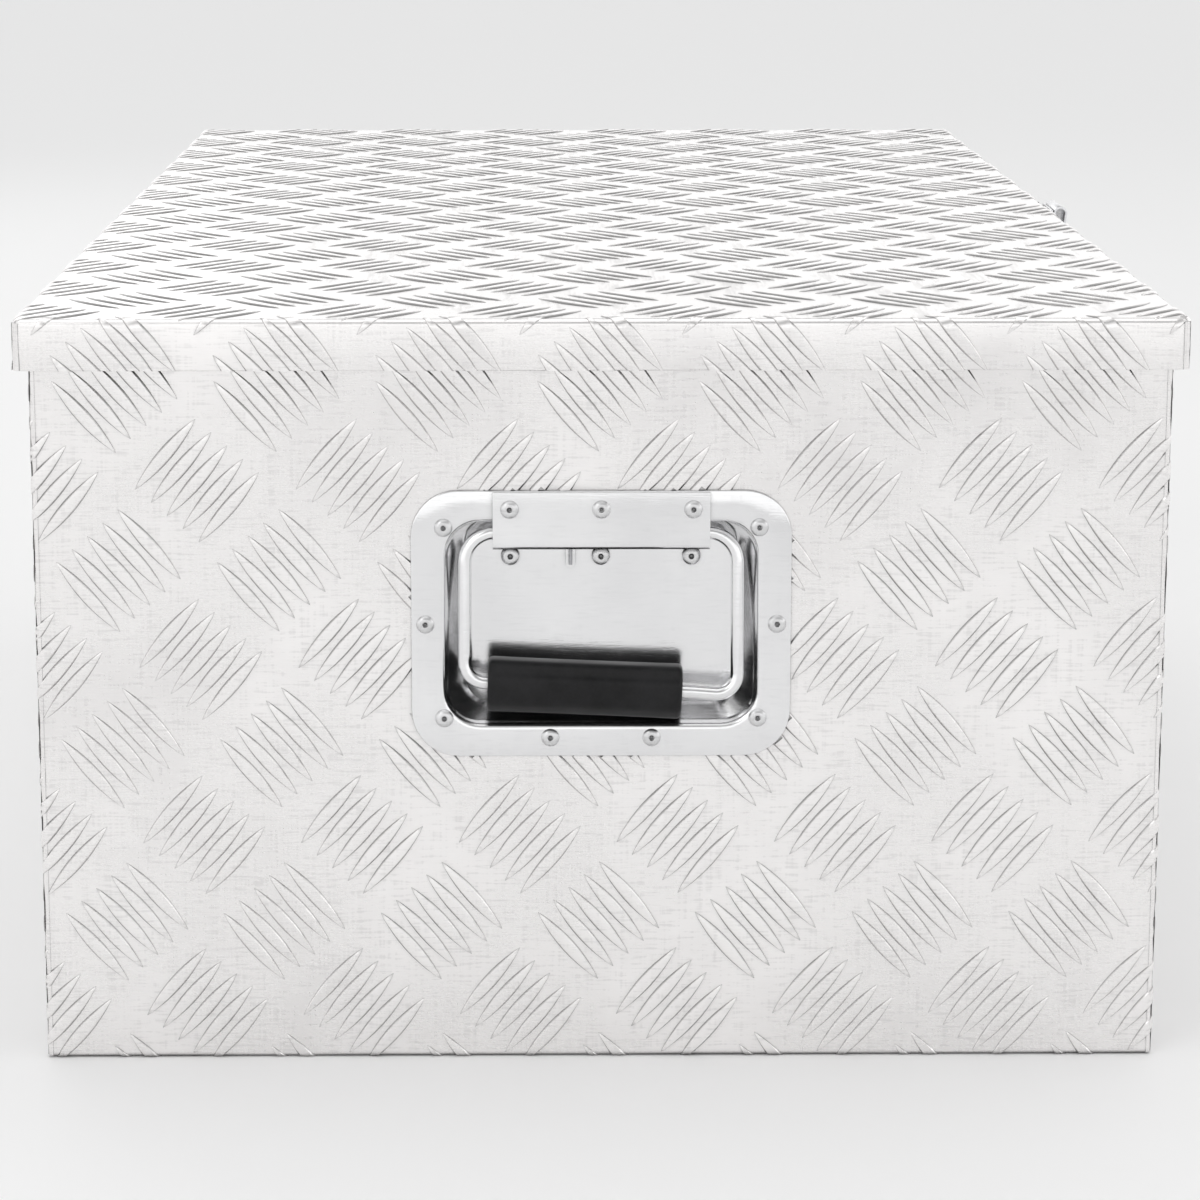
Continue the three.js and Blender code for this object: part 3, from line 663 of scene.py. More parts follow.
def build_lid():
    shape = lid_tray()
    skirt = LID_TOP - LID_LOW - FOLD + FOLD * math.pi / 2
    sheet = Sheet((0, 0, LID_TOP), (1, 0, 0), (0, 1, 0), LID_X - FOLD, -LID_Y + FOLD, LID_Y - FOLD, FOLD,
                  (skirt, skirt, skirt, skirt))
    keeper = (LID_X + 0.5, LID_X + 40, *KEEPER_FIELD)
    shape.merge(tread_bars(sheet, (-207.5, -389.0), (-173.0, -349.6), [keeper]))
    for i, (sx, sy) in enumerate(((-1, -1), (1, -1), (-1, 1), (1, 1))):
        shape.merge(corner_seam(sx * LID_X, sy * LID_Y, LID_LOW + 0.2, LID_TOP - 1.4, FOLD, 3 + i))
    shape.piece("lid_tray", "lid", "tread_plate", "lid_shell")


SEAL_STEPS = 40


def build_seal():
    """Foam strip under the lid, with softly rounded edges and a slightly uneven face."""
    (x0, y0, z0), (x1, y1, z1) = (tuple(c / MM for c in corner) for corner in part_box("lid_seal"))
    width, rng = 11.0, random.Random(9)
    loops = []
    section = [(0, z1), (0, z0 + 1.1), (1.0, z0 + 0.1), (width / 2, z0),
               (width - 1.0, z0 + 0.1), (width, z0 + 1.1), (width, z1)]
    for inset, z in section:
        ring = []
        hx, hy = x1 - inset, y1 - inset
        sides = ((-hx, -hy, hx, -hy), (hx, -hy, hx, hy), (hx, hy, -hx, hy), (-hx, hy, -hx, -hy))
        for ax, ay, bx, by in sides:
            for i in range(SEAL_STEPS):
                t = i / SEAL_STEPS
                wobble = rng.uniform(-0.12, 0.0) if z < z1 else 0.0
                ring.append((ax + (bx - ax) * t, ay + (by - ay) * t, z - wobble))
        loops.append(ring)
    count = len(loops[0])
    verts = [p for loop in loops for p in loop]
    faces = []
    for k in range(len(loops)):
        m = (k + 1) % len(loops)
        for i in range(count):
            j = (i + 1) % count
            faces.append((k * count + i, k * count + j, m * count + j, m * count + i))
    Shape().add(verts, faces).piece("lid_seal_strip", "lid", "seal_foam", "lid_seal", smooth=60)


# ---------------------------------------------------------------- body

HALF_X, HALF_Y, RIM, LIP, BODY_FOLD = 244.0, 444.0, 324.0, 14.0, 2.0


# stretches of the long walls that the latch's base and the hinge's leaf cover: (v is up)
LATCH_FIELD = (-28.0, 28.0, 182.0, 288.0)
HINGE_FIELD = (-420.0, 420.0, 276.0, 330.0)


def wall_profile():
    """A long wall's cross-section (outward, up), ending just past the fold at its rim."""
    t, r = SHEET_T, BODY_FOLD
    outer = [(0, 0.4), (-0.3, 0), (-t + 0.3, 0), (-t, 0.4)]
    inner = arc(-r, RIM - r, r - t, 180, 90, 4)
    edge = r + 0.4
    tip = [(-edge + 0.3, RIM - t), (-edge, RIM - t + 0.4), (-edge, RIM - 0.4), (-edge + 0.3, RIM)]
    return outer + [(-t, RIM - r)] + inner[1:] + tip + arc(-r, RIM - r, r, 90, 0, 6)


def folded_wall(across, turn):
    """The long wall: its fold runs the whole way, its lip stops short of the end walls' lips."""
    shape = prism(wall_profile(), lay_xz, -across, across)
    lip = LIP + SHEET_T
    inner = across - LIP - 0.3
    top, under = RIM - 0.01, RIM - SHEET_T
    flap = [(-BODY_FOLD, under), (-BODY_FOLD, top), (-lip + 0.3, top), (-lip, RIM - 0.4),
            (-lip, under + 0.4), (-lip + 0.3, under)]
    return shape.merge(prism(flap, lay_xz, -inner, inner)).turned(turn)


def wall_place(side):
    """Moves a wall drawn at +X (outward = +X) to its place on the front or back."""
    if side > 0:
        return Matrix.Translation((HALF_X, 0, 0))
    return Matrix.Translation((-HALF_X, 0, 0)) @ Matrix.Rotation(math.pi, 4, "Z")


def build_long_wall(name, node, side, masks):
    y = HALF_Y - SHEET_T - 0.4
    shape = folded_wall(y, wall_place(side))
    sheet = Sheet((side * HALF_X, 0, 0), (0, side, 0), (0, 0, 1), y - 0.6, 0.9, RIM - 4,
                  BODY_FOLD, (0.4, 0.4, 0.8, 0))
    shape.merge(tread_bars(sheet, (-41.0, 61.0), (-6.5, 21.6), masks))
    shape.piece(name, "box", "tread_plate", node)


# half width, low edge, high edge, corner radius
PAN_HOLE = (69.4, 150.0, 243.6, 17.4)
PAN_PLATE = (82.1, 137.6, 255.2, 20.5)


def handle_outline(half, low, high, radius, steps=10):
    middle = (low + high) / 2
    return [(x, z + middle) for x, z in round_rect(half, (high - low) / 2, radius, steps)]


def lay_end(p, q, depth):
    """For outlines drawn (outward, up) from the face of the -Y end wall."""
    return (depth, -HALF_Y - p, q)


def end_wall_shape():
    """The end wall at -Y: flat field with the pan's cut-out, rolled edges and the rim's fold."""
    t, r = SHEET_T, BODY_FOLD
    hole = handle_outline(*PAN_HOLE)
    top = RIM - 3
    plate = prism([(-HALF_X + r, r), (HALF_X - r, r), (HALF_X - r, top), (-HALF_X + r, top)],
                  lay_xz, -HALF_Y, -HALF_Y + t, [hole])
    rim = arc(-r, RIM - r, r, 0, 90, 6) + [(-t - LIP, RIM), (-t - LIP, RIM - t)]
    rim += arc(-r, RIM - r, r - t, 90, 0, 4)
    rim = [(0, top - 0.5)] + rim + [(-t, top - 0.5)]
    x = HALF_X - BODY_FOLD - 0.5
    plate.merge(prism(rim, lay_end, -x, x))
    # rolled upright edges and bottom edge
    turns = [math.radians(a) for a in range(0, 91, 15)]
    for s in (-1, 1):
        edge = [(s * (HALF_X - r) + s * r * math.sin(a), -HALF_Y + r - r * math.cos(a)) for a in turns]
        edge += [(s * (HALF_X - t * 0.4), -HALF_Y + r), (s * (HALF_X - r), -HALF_Y + t)]
        plate.merge(prism(edge, lay_xy, 0.6, top))
    foot = [(-HALF_Y + r - r * math.cos(a), r - r * math.sin(a)) for a in turns]
    foot += [(-HALF_Y + r + 0.4, 0), (-HALF_Y + r + 0.4, 1.0), (-HALF_Y + t, r)]
    plate.merge(prism(foot, lay_yz, -HALF_X + 1.2, HALF_X - 1.2))
    sheet = Sheet((0, -HALF_Y, 0), (1, 0, 0), (0, 0, 1), HALF_X - r, r, RIM - 5, r,
                  (r * 1.3, r * 1.3, r * 1.3, 0))
    pan = [(-79, 79, 155, 238), (-75, 75, 147, 246), (-68, 68, 140.5, 252.3)]
    plate.merge(tread_bars(sheet, (-207.9, 62.5), (-173.4, 23.1), pan))
    for s in (-1, 1):
        plate.merge(corner_seam(s * HALF_X, -HALF_Y, 1.0, RIM - 6, r, 20 + s, 1.5))
    return plate


HALF_TURN = Matrix.Rotation(math.pi, 4, "Z")
ENDS = (("near", Matrix.Identity(4)), ("far", HALF_TURN))


def build_body():
    build_long_wall("front_wall", "front_panel", 1, [LATCH_FIELD])
    build_long_wall("back_wall", "back_panel", -1, [HINGE_FIELD])
    shape = end_wall_shape()
    for tag, turn in ENDS:
        shape.turned(turn).piece(f"end_wall_{tag}", "box", "tread_plate", f"end_panel_{tag}")
    x, y = HALF_X - SHEET_T - 0.3, HALF_Y - SHEET_T - 0.3
    floor = prism([(-x, -y), (x, -y), (x, y), (-x, y)], lay_xy, 0.0, SHEET_T)
    sheet = Sheet((0, 0, SHEET_T), (1, 0, 0), (0, 1, 0), x - 3, -y + 3, y - 3, 2.0, (0, 0, 0, 0))
    floor.merge(tread_bars(sheet, (-200.0, -380.0), (-165.5, -340.6), stations=8))
    floor.piece("floor_sheet", "box", "tread_plate", "bottom_panel")


def build_welds():
    """Fillet welds inside: up each corner and along the floor, as rippled beads."""
    shape = Shape()
    rng = random.Random(31)
    x, y = HALF_X - SHEET_T - 1.2, HALF_Y - SHEET_T - 1.2
    runs = [((sx * x, sy * y, 3), (sx * x, sy * y, RIM - 22)) for sx in (-1, 1) for sy in (-1, 1)]
    runs += [((-x + 4, sy * y, 2.6), (x - 4, sy * y, 2.6)) for sy in (-1, 1)]
    runs += [((sx * x, -y + 4, 2.6), (sx * x, y - 4, 2.6)) for sx in (-1, 1)]
    for start, end in runs:
        start, end = Vector(start), Vector(end)
        count = int((end - start).length / 2.2)
        bead = tube([start.lerp(end, i / count) for i in range(count + 1)], 1.7, 8)
        ripple = [1 + 0.14 * math.sin(i * 2.1) + rng.uniform(-0.06, 0.06) for i in range(count + 1)]
        line = (end - start).normalized()
        moved = []
        for i, v in enumerate(bead.verts):
            v = Vector(v)
            centre = start + line * (v - start).dot(line)
            moved.append(tuple(centre + (v - centre) * ripple[i // 8]))
        shape.add(moved, bead.faces)
    shape.piece("inside_welds", "box", "tread_plate", smooth=80)


# ---------------------------------------------------------------- rivets

RIVET_SIDES = 20
RIVET_PROFILE = (
    (0.0, 0.35), (0.55, 0.35), (0.75, 0.1), (0.75, -0.6), (1.15, -0.6), (1.15, 1.25), (1.35, 1.42),
    (1.8, 1.46), (2.5, 1.3), (3.2, 0.92), (3.75, 0.42), (3.95, 0.12), (3.9, 0.0), (1.8, 0.0),
)
# painted shade at each point of that profile: most in the hollow, some under the head's edge
RIVET_SHADE = (1.0,) * 5 + (0.5,) + (0.0,) * 6 + (0.7,) * 2


def rivet(seat, outward, grip, size=1.0, tail=3.0, turn=0.0):
    """A blind rivet: domed head at seat, hollow in the middle, with its swelled tail grip behind."""
    profile = [(r * size, h * size) for r, h in RIVET_PROFILE]
    profile += [(1.8 * size, -grip), (2.5 * size, -grip - 0.2), (2.75 * size, -grip - 1.0 * size),
                (2.5 * size, -grip - tail * 0.8 * size), (1.6 * size, -grip - tail * size),
                (0, -grip - tail * size)]
    axis = Vector(outward)
    facing = axis.to_track_quat("Z", "Y").to_matrix().to_4x4()
    matrix = Matrix.Translation(seat) @ facing @ Matrix.Rotation(turn, 4, "Z")
    shape = lathe(profile, matrix, RIVET_SIDES)
    # spreads the profile's painted shade over the turned rings
    rings = [*RIVET_SHADE] + [0.0] * (len(profile) - len(RIVET_SHADE))
    shape.painted_shade = [rings[0]] + [value for value in rings[1:-1] for _ in range(RIVET_SIDES)] + [rings[-1]]
    return shape


PLATE_FACE = 1.5  # the pan's plate stands this far out from the end wall
STRAP_FACE = 3.0
RIVET_SPOTS = [spot for s in (-1, 1) for spot in
               ((68 * s, 239.0, 0), (76 * s, 196.4, 0), (68 * s, 154.6, 0), (22 * s, 145.9, 0))]
RIVET_SPOTS += [(x, 247.2, 1) for x in (-39.5, 0, 39.5)]


def build_handle_rivets():
    rng = random.Random(4)
    for tag, turn in ENDS:
        for i, (x, z, on_strap) in enumerate(RIVET_SPOTS):
            out = (STRAP_FACE if on_strap else PLATE_FACE) + 0.02
            shape = rivet((x, -HALF_Y - out, z), (0, -1, 0), out + SHEET_T, turn=rng.uniform(0, 6))
            shape.turned(turn).piece(
                f"handle_rivet_{tag}_{i + 1:02d}", "box", "rivet_alloy", f"rivet_{tag}_{i + 1:02d}")
        foot = Shape()
        for x in (-39.3, 0, 39.3):
            foot.merge(rivet((x, -HALF_Y + 12 - 1.52, 224.0), (0, -1, 0), 3.1, turn=rng.uniform(0, 6)))
        foot.turned(turn).piece(f"strap_foot_rivets_{tag}", "box", "rivet_alloy")


# ---------------------------------------------------------------- handle

BAIL_AXIS_Z, BAIL_AXIS_OUT = 235.6, -4.8
GRIP_Z, GRIP_OUT, GRIP_SHIFT, GRIP_TILT = 168.5, 2.0, -7.2, 2.5
SPRING_LEG_X = -13.2


def pan_shape():
    """The drawn steel pan: plate, rounded mouth, sloping sides and a flat floor."""
    mouth = (67.0, 152.4, 241.2, 15.0)
    floor = (57.0, 160.5, 241.0, 10.0)
    depth, t = 12.0, 1.2
    face = -HALF_Y - PLATE_FACE

    def ring(blend, grow, y):
        half, low, high, radius = (a + (b - a) * blend for a, b in zip(mouth, floor))
        outline = handle_outline(half + grow, low - grow, high + grow, max(radius + grow, 2))
        return [(x, y, z) for x, z in outline]

    def plate(grow, y):
        half, low, high, radius = PAN_PLATE
        return [(x, y, z) for x, z in handle_outline(half + grow, low - grow, high + grow, radius + grow)]

    bottom = -HALF_Y + depth
    span = bottom - face
    loops = [ring(1, -3.6, bottom)]
    for i in range(1, 4):
        a = math.radians(i * 22.5)
        loops.append(ring(1 - 0.07 * i, -3.6 + 3.6 * math.sin(a), bottom - 1.6 * (1 - math.cos(a))))
    loops += [ring(0.72 - 0.72 * k / 6, 0, bottom - span * (0.18 + 0.6 * k / 6)) for k in range(6)]
    for degrees in (0, 25, 50, 70, 90):
        a = math.radians(degrees)
        loops.append(ring(0, 3.0 * (1 - math.cos(a)), face + 3.0 * (1 - math.sin(a))))
    loops += [plate(-0.6, face), plate(-0.15, face + 0.2), plate(0, face + 0.5), plate(0, -HALF_Y - 0.3)]
    loops += [ring(0, t + 1.6, -HALF_Y - 0.3), ring(0, t, -HALF_Y + 1.0)]
    loops += [ring(0.9, t, bottom + 0.2), ring(1, t - 2.5, bottom + t)]
    return loft(loops)


def strap_shape():
    """Pressed strap over the bail's axle, with rounded bends, down to the pan's floor."""
    t, half = 1.2, 46.75
    face, floor = 1.8, -11.7
    web = 229.4
    r = 1.6
    outer = [(face + t, 254.3), (face + t - 0.3, 254.6), (face, 254.6)]
    inner_low = arc(face - r, web + t + r, r, 0, -90, 4)
    back = [(face, web + t + r)] + inner_low[1:]
    path = outer + back + [(floor + r, web + t)]
    path += arc(floor + r, web + t - r, r, 90, 180, 4)
    path += [(floor, 217.6), (floor + t - 0.3, 217.6), (floor + t, 217.9)]
    path += [(floor + t, web - 0.6), (floor + t + 0.6, web), (face - 0.8, web)]
    path += arc(face + t - 2.8, web + 2.8, 2.8, -90, 0, 6)
    shape = prism(path, lay_end, -half, half)
    # pressed slot that the spring's leg comes through
    leg = SPRING_LEG_X
    slot = arc(leg, 220.8, 2.0, 180, 360, 8) + [(leg + 2.0, web), (leg - 2.0, web)]
    shape.merge(prism(slot, lay_xz, -HALF_Y - (floor + t - 0.1), -HALF_Y - (floor + t + 0.12)))
    return shape


def bail_path():
    """The wire's centre line: axle, two legs and the tilted lower run that the grip sits on."""
    leg, bend, turn = 59.0, 13.0, 9.0
    drop = BAIL_AXIS_Z - GRIP_Z
    slope = math.tan(math.radians(-GRIP_TILT))

    def point(x, down):
        out = BAIL_AXIS_OUT + down * (GRIP_OUT - BAIL_AXIS_OUT) / drop
        return (x, -HALF_Y - out, BAIL_AXIS_Z - down)

    def lower(x):
        return drop - slope * (x - GRIP_SHIFT)

    flat = [(x, 0.0) for x in (-40, -20, 0, 20, 40)]
    flat += [(x, -y) for x, y in arc(leg - bend, -bend, bend, 90, 0, 10)]
    flat += [(leg, bend + (lower(leg) - turn - bend) * i / 6) for i in range(1, 6)]
    flat += [(x, lower(leg) - turn - y) for x, y in arc(leg - turn, 0, turn, 0, -90, 8)]
    flat += [(x, lower(x)) for x in (40, 25, 10, -5, -20, -35)]
    flat += [(x, lower(-leg) - turn - y) for x, y in arc(-leg + turn, 0, turn, -90, -180, 8)]
    flat += [(-leg, bend + (lower(-leg) - turn - bend) * i / 6) for i in range(5, 0, -1)]
    flat += [(x, -y) for x, y in arc(-leg + bend, -bend, bend, 180, 90, 10)][:-1]
    return [point(x, down) for x, down in flat]


def grip_shape():
    """Moulded sleeve: flat-sided with rounded corners and eased ends."""
    half = 42.0
    tall, deep, chamfer = 11.6, 10.6, 5.6
    upper = [(tall, deep - chamfer), (tall - chamfer, deep), (-tall + chamfer, deep), (-tall, deep - chamfer)]
    corners = upper + [(p, -q) for p, q in reversed(upper)]

    def section(shrink):
        ring = []
        for i, (p, q) in enumerate(corners):
            before, after = Vector(corners[i - 1]), Vector(corners[(i + 1) % 8])
            here = Vector((p, q))
            a = here + (before - here).normalized() * 2.6
            b = here + (after - here).normalized() * 2.6
            for t in (0, 0.25, 0.5, 0.75, 1):
                point = a * (1 - t) ** 2 + here * 2 * t * (1 - t) + b * t * t
                ring.append(point - point.normalized() * shrink)
        return ring

    # (distance in from an end, shrink of the section there); the first pair closes on the bore
    ends = [(0, 8.0), (0, 1.5), (0.4, 0.75), (1.1, 0.2), (2, 0), (12, 0.12), (30, 0.2)]
    stations = [(-half + d, shrink) for d, shrink in ends]
    stations += [(half - d, shrink) for d, shrink in reversed(ends)]
    slope = math.radians(GRIP_TILT)
    loops = []
    for x, shrink in stations:
        if shrink > 7:
            ring = [p.normalized() * 3.5 for p in section(0)]
        else:
            ring = section(shrink)
        loop = []
        for up, out in ring:
            loop.append((GRIP_SHIFT + x * math.cos(slope) + up * math.sin(slope), -HALF_Y - GRIP_OUT - out,
                         GRIP_Z - x * math.sin(slope) + up * math.cos(slope)))
        loops.append(loop)
    return loft(loops)


def spring_path():
    coil, turns, leg_x, start_x = 4.15, 4, SPRING_LEG_X, 1.0
    axis_y, axis_z = -HALF_Y - BAIL_AXIS_OUT, BAIL_AXIS_Z
    points = []
    steps = 18 * turns
    for i in range(steps + 1):
        u = i / steps
        a = 2 * math.pi * turns * u
        x = start_x + (leg_x - start_x) * u
        points.append((x, axis_y + coil * math.cos(a), axis_z - coil * math.sin(a)))
    x, y, _ = points[-1]
    points += [(x, y, axis_z - d) for d in (2, 4, 6, 8, 10, 12, 14, 15.0)]
    return points


def build_handles():
    pan, strap, grip = pan_shape(), strap_shape(), grip_shape()
    bail = tube(bail_path(), 3.0, 20, closed=True)
    spring = tube(spring_path(), 0.8, 10)
    for tag, turn in ENDS:
        pan.turned(turn).piece(f"handle_pan_{tag}", "box", "handle_steel", f"handle_dish_{tag}", smooth=32)
        strap.turned(turn).piece(f"axle_strap_{tag}", "box", "handle_steel", f"handle_strap_{tag}", bevel=0.2)
        bail.turned(turn).piece(f"bail_{tag}", f"bail_{tag}", "handle_steel", f"handle_bail_{tag}", smooth=60)
        grip.turned(turn).piece(
            f"grip_sleeve_{tag}", f"bail_{tag}", "grip_plastic", f"handle_grip_{tag}", smooth=40)
        spring.turned(turn).piece(
            f"return_spring_{tag}", "box", "spring_steel", f"handle_spring_{tag}", smooth=60)


# ---------------------------------------------------------------- piano hinge

HINGE_X, HINGE_Z, HINGE_HALF, KNUCKLES = -247.1, 304.5, 405.0, 15


def hinge_leaf_shape(direction, first, x0, x1, reach):
    """A leaf with rolled knuckles; direction is -1 for the leaf that hangs down."""
    outer, bore = 2.8, 1.65
    pitch = 2 * HINGE_HALF / KNUCKLES
    z_clear = HINGE_Z + direction * (outer + 0.4)
    z_end = HINGE_Z + direction * reach
    low, high = sorted((z_clear, z_end))
    shape = prism([(x0, low), (x1, low), (x1, high), (x0, high)], lay_xz, -HINGE_HALF, HINGE_HALF)
    tangent = x1 if abs(x1 - HINGE_X) > abs(x0 - HINGE_X) else x0
    other = x0 if tangent == x1 else x1
    for k in range(first, KNUCKLES, 2):
        y0 = -HINGE_HALF + k * pitch + 0.3
        y1 = y0 + pitch - 0.6
        ring_out = arc(HINGE_X, HINGE_Z, outer, 0, 360, 28)[:-1]
        ring_in = arc(HINGE_X, HINGE_Z, bore, 0, 360, 18)[:-1]
        shape.merge(prism(ring_out, lay_xz, y0, y1, [ring_in]))
        neck = sorted((z_clear + direction * 0.6, HINGE_Z + direction * bore))
        strip = [(other, neck[0]), (tangent, neck[0]), (tangent, neck[1]), (other, neck[1])]
        shape.merge(prism(strip, lay_xz, y0, y1))
    return shape


def build_hinge():
    wall = -HALF_X - 0.3
    body_leaf = hinge_leaf_shape(-1, 0, wall - 1.1, wall, 25)
    body_leaf.piece("hinge_body_leaf", "box", "bright_steel", "hinge_leaf_body")
    lid_leaf = hinge_leaf_shape(1, 1, HINGE_X - 1.1, HINGE_X, 19)
    lid_leaf.piece("hinge_lid_leaf", "lid", "bright_steel", "hinge_leaf_lid")
    wire = pin(HINGE_X, HINGE_Z, -HINGE_HALF - 1.4, HINGE_HALF + 1.4, 1.2)
    wire.piece("hinge_wire", "box", "bright_steel", "hinge_pin")
    pitch = 2 * HINGE_HALF / KNUCKLES
    body, lid = Shape(), Shape()
    for k in range(KNUCKLES):
        y = -HINGE_HALF + (k + 0.5) * pitch
        if k % 2 == 0:
            body.merge(rivet((wall - 1.12, y, 289.0), (-1, 0, 0), 3.0, 0.72, 2.2))
        else:
            lid.merge(rivet((HINGE_X + 0.02, y, 316.0), (1, 0, 0), 1.2, 0.55, 0.4))
    body.piece("hinge_body_rivets", "box", "rivet_alloy")
    lid.piece("hinge_lid_rivets", "lid", "rivet_alloy")


# ---------------------------------------------------------------- lid stays

STAY_R = 130.0


def stay_point(angle):
    a = math.radians(angle)
    return Vector((HINGE_X + STAY_R * math.cos(a), HINGE_Z + STAY_R * math.sin(a)))


def capsule(start, end, radius, steps=12):
    angle = math.degrees(math.atan2(end.y - start.y, end.x - start.x))
    back = arc(start.x, start.y, radius, angle + 90, angle + 270, steps)
    return back + arc(end.x, end.y, radius, angle - 90, angle + 90, steps)


def stay_shapes():
    pivot, post = stay_point(-3.75), stay_point(-33.75)
    toward = (post - pivot).normalized()
    bore = arc(pivot.x, pivot.y, 3.4, 0, 360, 20)[:-1]

    def chord(degrees):
        return 2 * STAY_R * math.sin(math.radians(degrees / 2))

    def at(distance):
        return pivot + toward * distance

    y0, y1 = -425.0, -423.0
    arm = prism(capsule(pivot, at(chord(125) + 6.3), 9), lay_xz, y0, y1,
                [capsule(at(chord(30) - 4), at(chord(125) + 0.6), 4.25), bore])
    face, top = -422.7, 328.2
    tongue = [(pivot.x - 14, top - 2), (pivot.x - 8, pivot.y)]
    tongue += arc(pivot.x, pivot.y, 8, 180, 360, 14)[1:] + [(pivot.x + 14, top - 2)]
    tongue += arc(pivot.x + 12, top - 2, 2, 0, 90, 4)[1:] + arc(pivot.x - 12, top - 2, 2, 90, 180, 4)
    bracket = prism(tongue, lay_xz, face, face + 2, [bore])
    lug = [(pivot.x - 14, face + 1), (pivot.x + 14, face + 1),
           (pivot.x + 14, face + 18), (pivot.x - 14, face + 18)]
    bracket.merge(prism(lug, lay_xy, top - 2, top))
    spots = [(pivot.x + dx, face + 11, top - 2.02) for dx in (-7.5, 7.5)]
    studs = Shape()
    for spot in spots:
        studs.merge(rivet(spot, (0, 0, -1), 1.4, 0.6, 0.3))
    dome = [(0, -1.2), (4.2, -1.2), (5.1, -0.8), (5.5, -0.1), (5.4, 0), (3, 0), (3, 4.6),
            (5.4, 4.6), (5.5, 4.7), (5.1, 5.4), (3.2, 5.8), (0, 5.85)]
    stud = lathe(dome, along_y(pivot.x, -425.3, pivot.y))
    wall = -HALF_Y + SHEET_T + 0.3
    shoulder = [(0, 0), (8.6, 0), (9, 0.4), (9, 1.1), (8.6, 1.5), (6, 1.5), (6, 16.6), (5.7, 16.9),
                (3.5, 16.9), (3.5, 19.5), (6.6, 19.5), (7, 19.9), (7, 21), (6.6, 21.5), (0, 21.5)]
    shaft = lathe(shoulder, along_y(post.x, wall, post.y), 28)
    return arm, bracket, studs, stud, shaft


def build_stays():
    arm, bracket, studs, stud, shaft = stay_shapes()
    for tag, side in (("near", 1), ("far", -1)):
        mirror = Matrix.Diagonal((1, side, 1, 1))
        arm.turned(mirror).piece(
            f"stay_bar_{tag}", f"stay_{tag}", "bright_steel", f"stay_arm_{tag}", bevel=0.25)
        bracket.turned(mirror).piece(
            f"stay_lug_{tag}", "lid", "bright_steel", f"stay_bracket_{tag}", bevel=0.2)
        studs.turned(mirror).piece(f"stay_lug_rivets_{tag}", "lid", "rivet_alloy")
        stud.turned(mirror).piece(f"stay_pivot_{tag}", "lid", "bright_steel", f"stay_rivet_{tag}")
        shaft.turned(mirror).piece(f"stay_stud_{tag}", "box", "bright_steel", f"stay_post_{tag}")


# ---------------------------------------------------------------- latch

PIVOT_X, PIVOT_Z, LINK_X, LINK_Z = 252.0, 262.0, 251.5, 249.0
PIN_RADIUS, PIN_BORE = 2.0, 2.35
CLAW_HALF = 17


def circle(x, z, radius, steps=24):
    return arc(x, z, radius, 0, 360, steps)[:-1]


def build_latch_base():
    x0, t = HALF_X + 0.3, 1.4
    plate = [(y, z + 235) for y, z in round_rect(26, 51, 4, 6)]
    shape = prism(plate, lay_yz, x0, x0 + t)
    cheek = [(x0 + t * 0.6, PIVOT_Z - 13), (257.0, PIVOT_Z - 5.2)]
    cheek += arc(PIVOT_X + 2, PIVOT_Z, 4.6, -50, 50, 8)
    cheek += [(x0 + t * 0.6, PIVOT_Z + 13)]
    for y in (-22.7, 21.3):
        shape.merge(prism(cheek, lay_xz, y, y + t, [circle(PIVOT_X, PIVOT_Z, PIN_BORE)]))
    staple = [(x0 + t * 0.6, 208)] + arc(266, 215, 7, -90, 90, 14) + [(x0 + t * 0.6, 222)]
    shape.merge(prism(staple, lay_xz, -1.5, 1.5, [circle(266, 215, 3.5)]))
    shape.piece("latch_backplate", "box", "bright_steel", "latch_base", bevel=0.22)
    heads = Shape()
    for y in (-18.5, 18.5):
        for z in (190.5, 279.5):
            heads.merge(rivet((x0 + t + 0.02, y, z), (1, 0, 0), 3.3, 0.8))
    heads.piece("latch_base_rivets", "box", "rivet_alloy")


def build_latch_lever():
    face, t, low, top, half = 262.0, 1.4, 192.0, 234.0, 20.1
    ear = [(249.4, low + 11.5), (251.2, low + 9.6), (face + t * 0.5, low + 9.6), (face + t * 0.5, top)]
    ear += [(PIVOT_X + 5.9, PIVOT_Z - 7), (PIVOT_X + 5.7, PIVOT_Z)]
    ear += arc(PIVOT_X, PIVOT_Z, 5.7, 0, 155, 12)[1:] + [(247.0, LINK_Z - 4)]
    shape = Shape()
    for y in (-half, half - t):
        bores = [circle(PIVOT_X, PIVOT_Z, PIN_BORE), circle(LINK_X, LINK_Z, PIN_BORE)]
        shape.merge(prism(ear, lay_xz, y, y + t, bores))
    slot = arc(0, 222, 2.6, 0, 180, 8) + arc(0, 205.6, 2.6, 180, 360, 8)
    web = [(-half, low + 9), (half, low + 9), (half, top - 4)] + arc(half - 4, top - 4, 4, 0, 90, 5)[1:]
    web += arc(-half + 4, top - 4, 4, 90, 180, 5)
    shape.merge(prism(web, lay_yz, face, face + t, [slot]))
    tab = [(face, low + 9.6), (face + 1.2, low + 7.0), (face + 7.0, low + 0.3), (face + 7.8, low),
           (face + 8.4, low + 0.7), (face + 2.6, low + 7.8), (face + t, low + 10.2)]
    shape.merge(prism(tab, lay_xz, -half, half))
    ridge = arc(face + t, 229.0, 0.9, -90, 90, 6)
    shape.merge(prism(ridge, lay_xz, -half + 5, half - 5))
    shape.piece("latch_handle", "latch_lever", "bright_steel", "latch_lever", bevel=0.22)


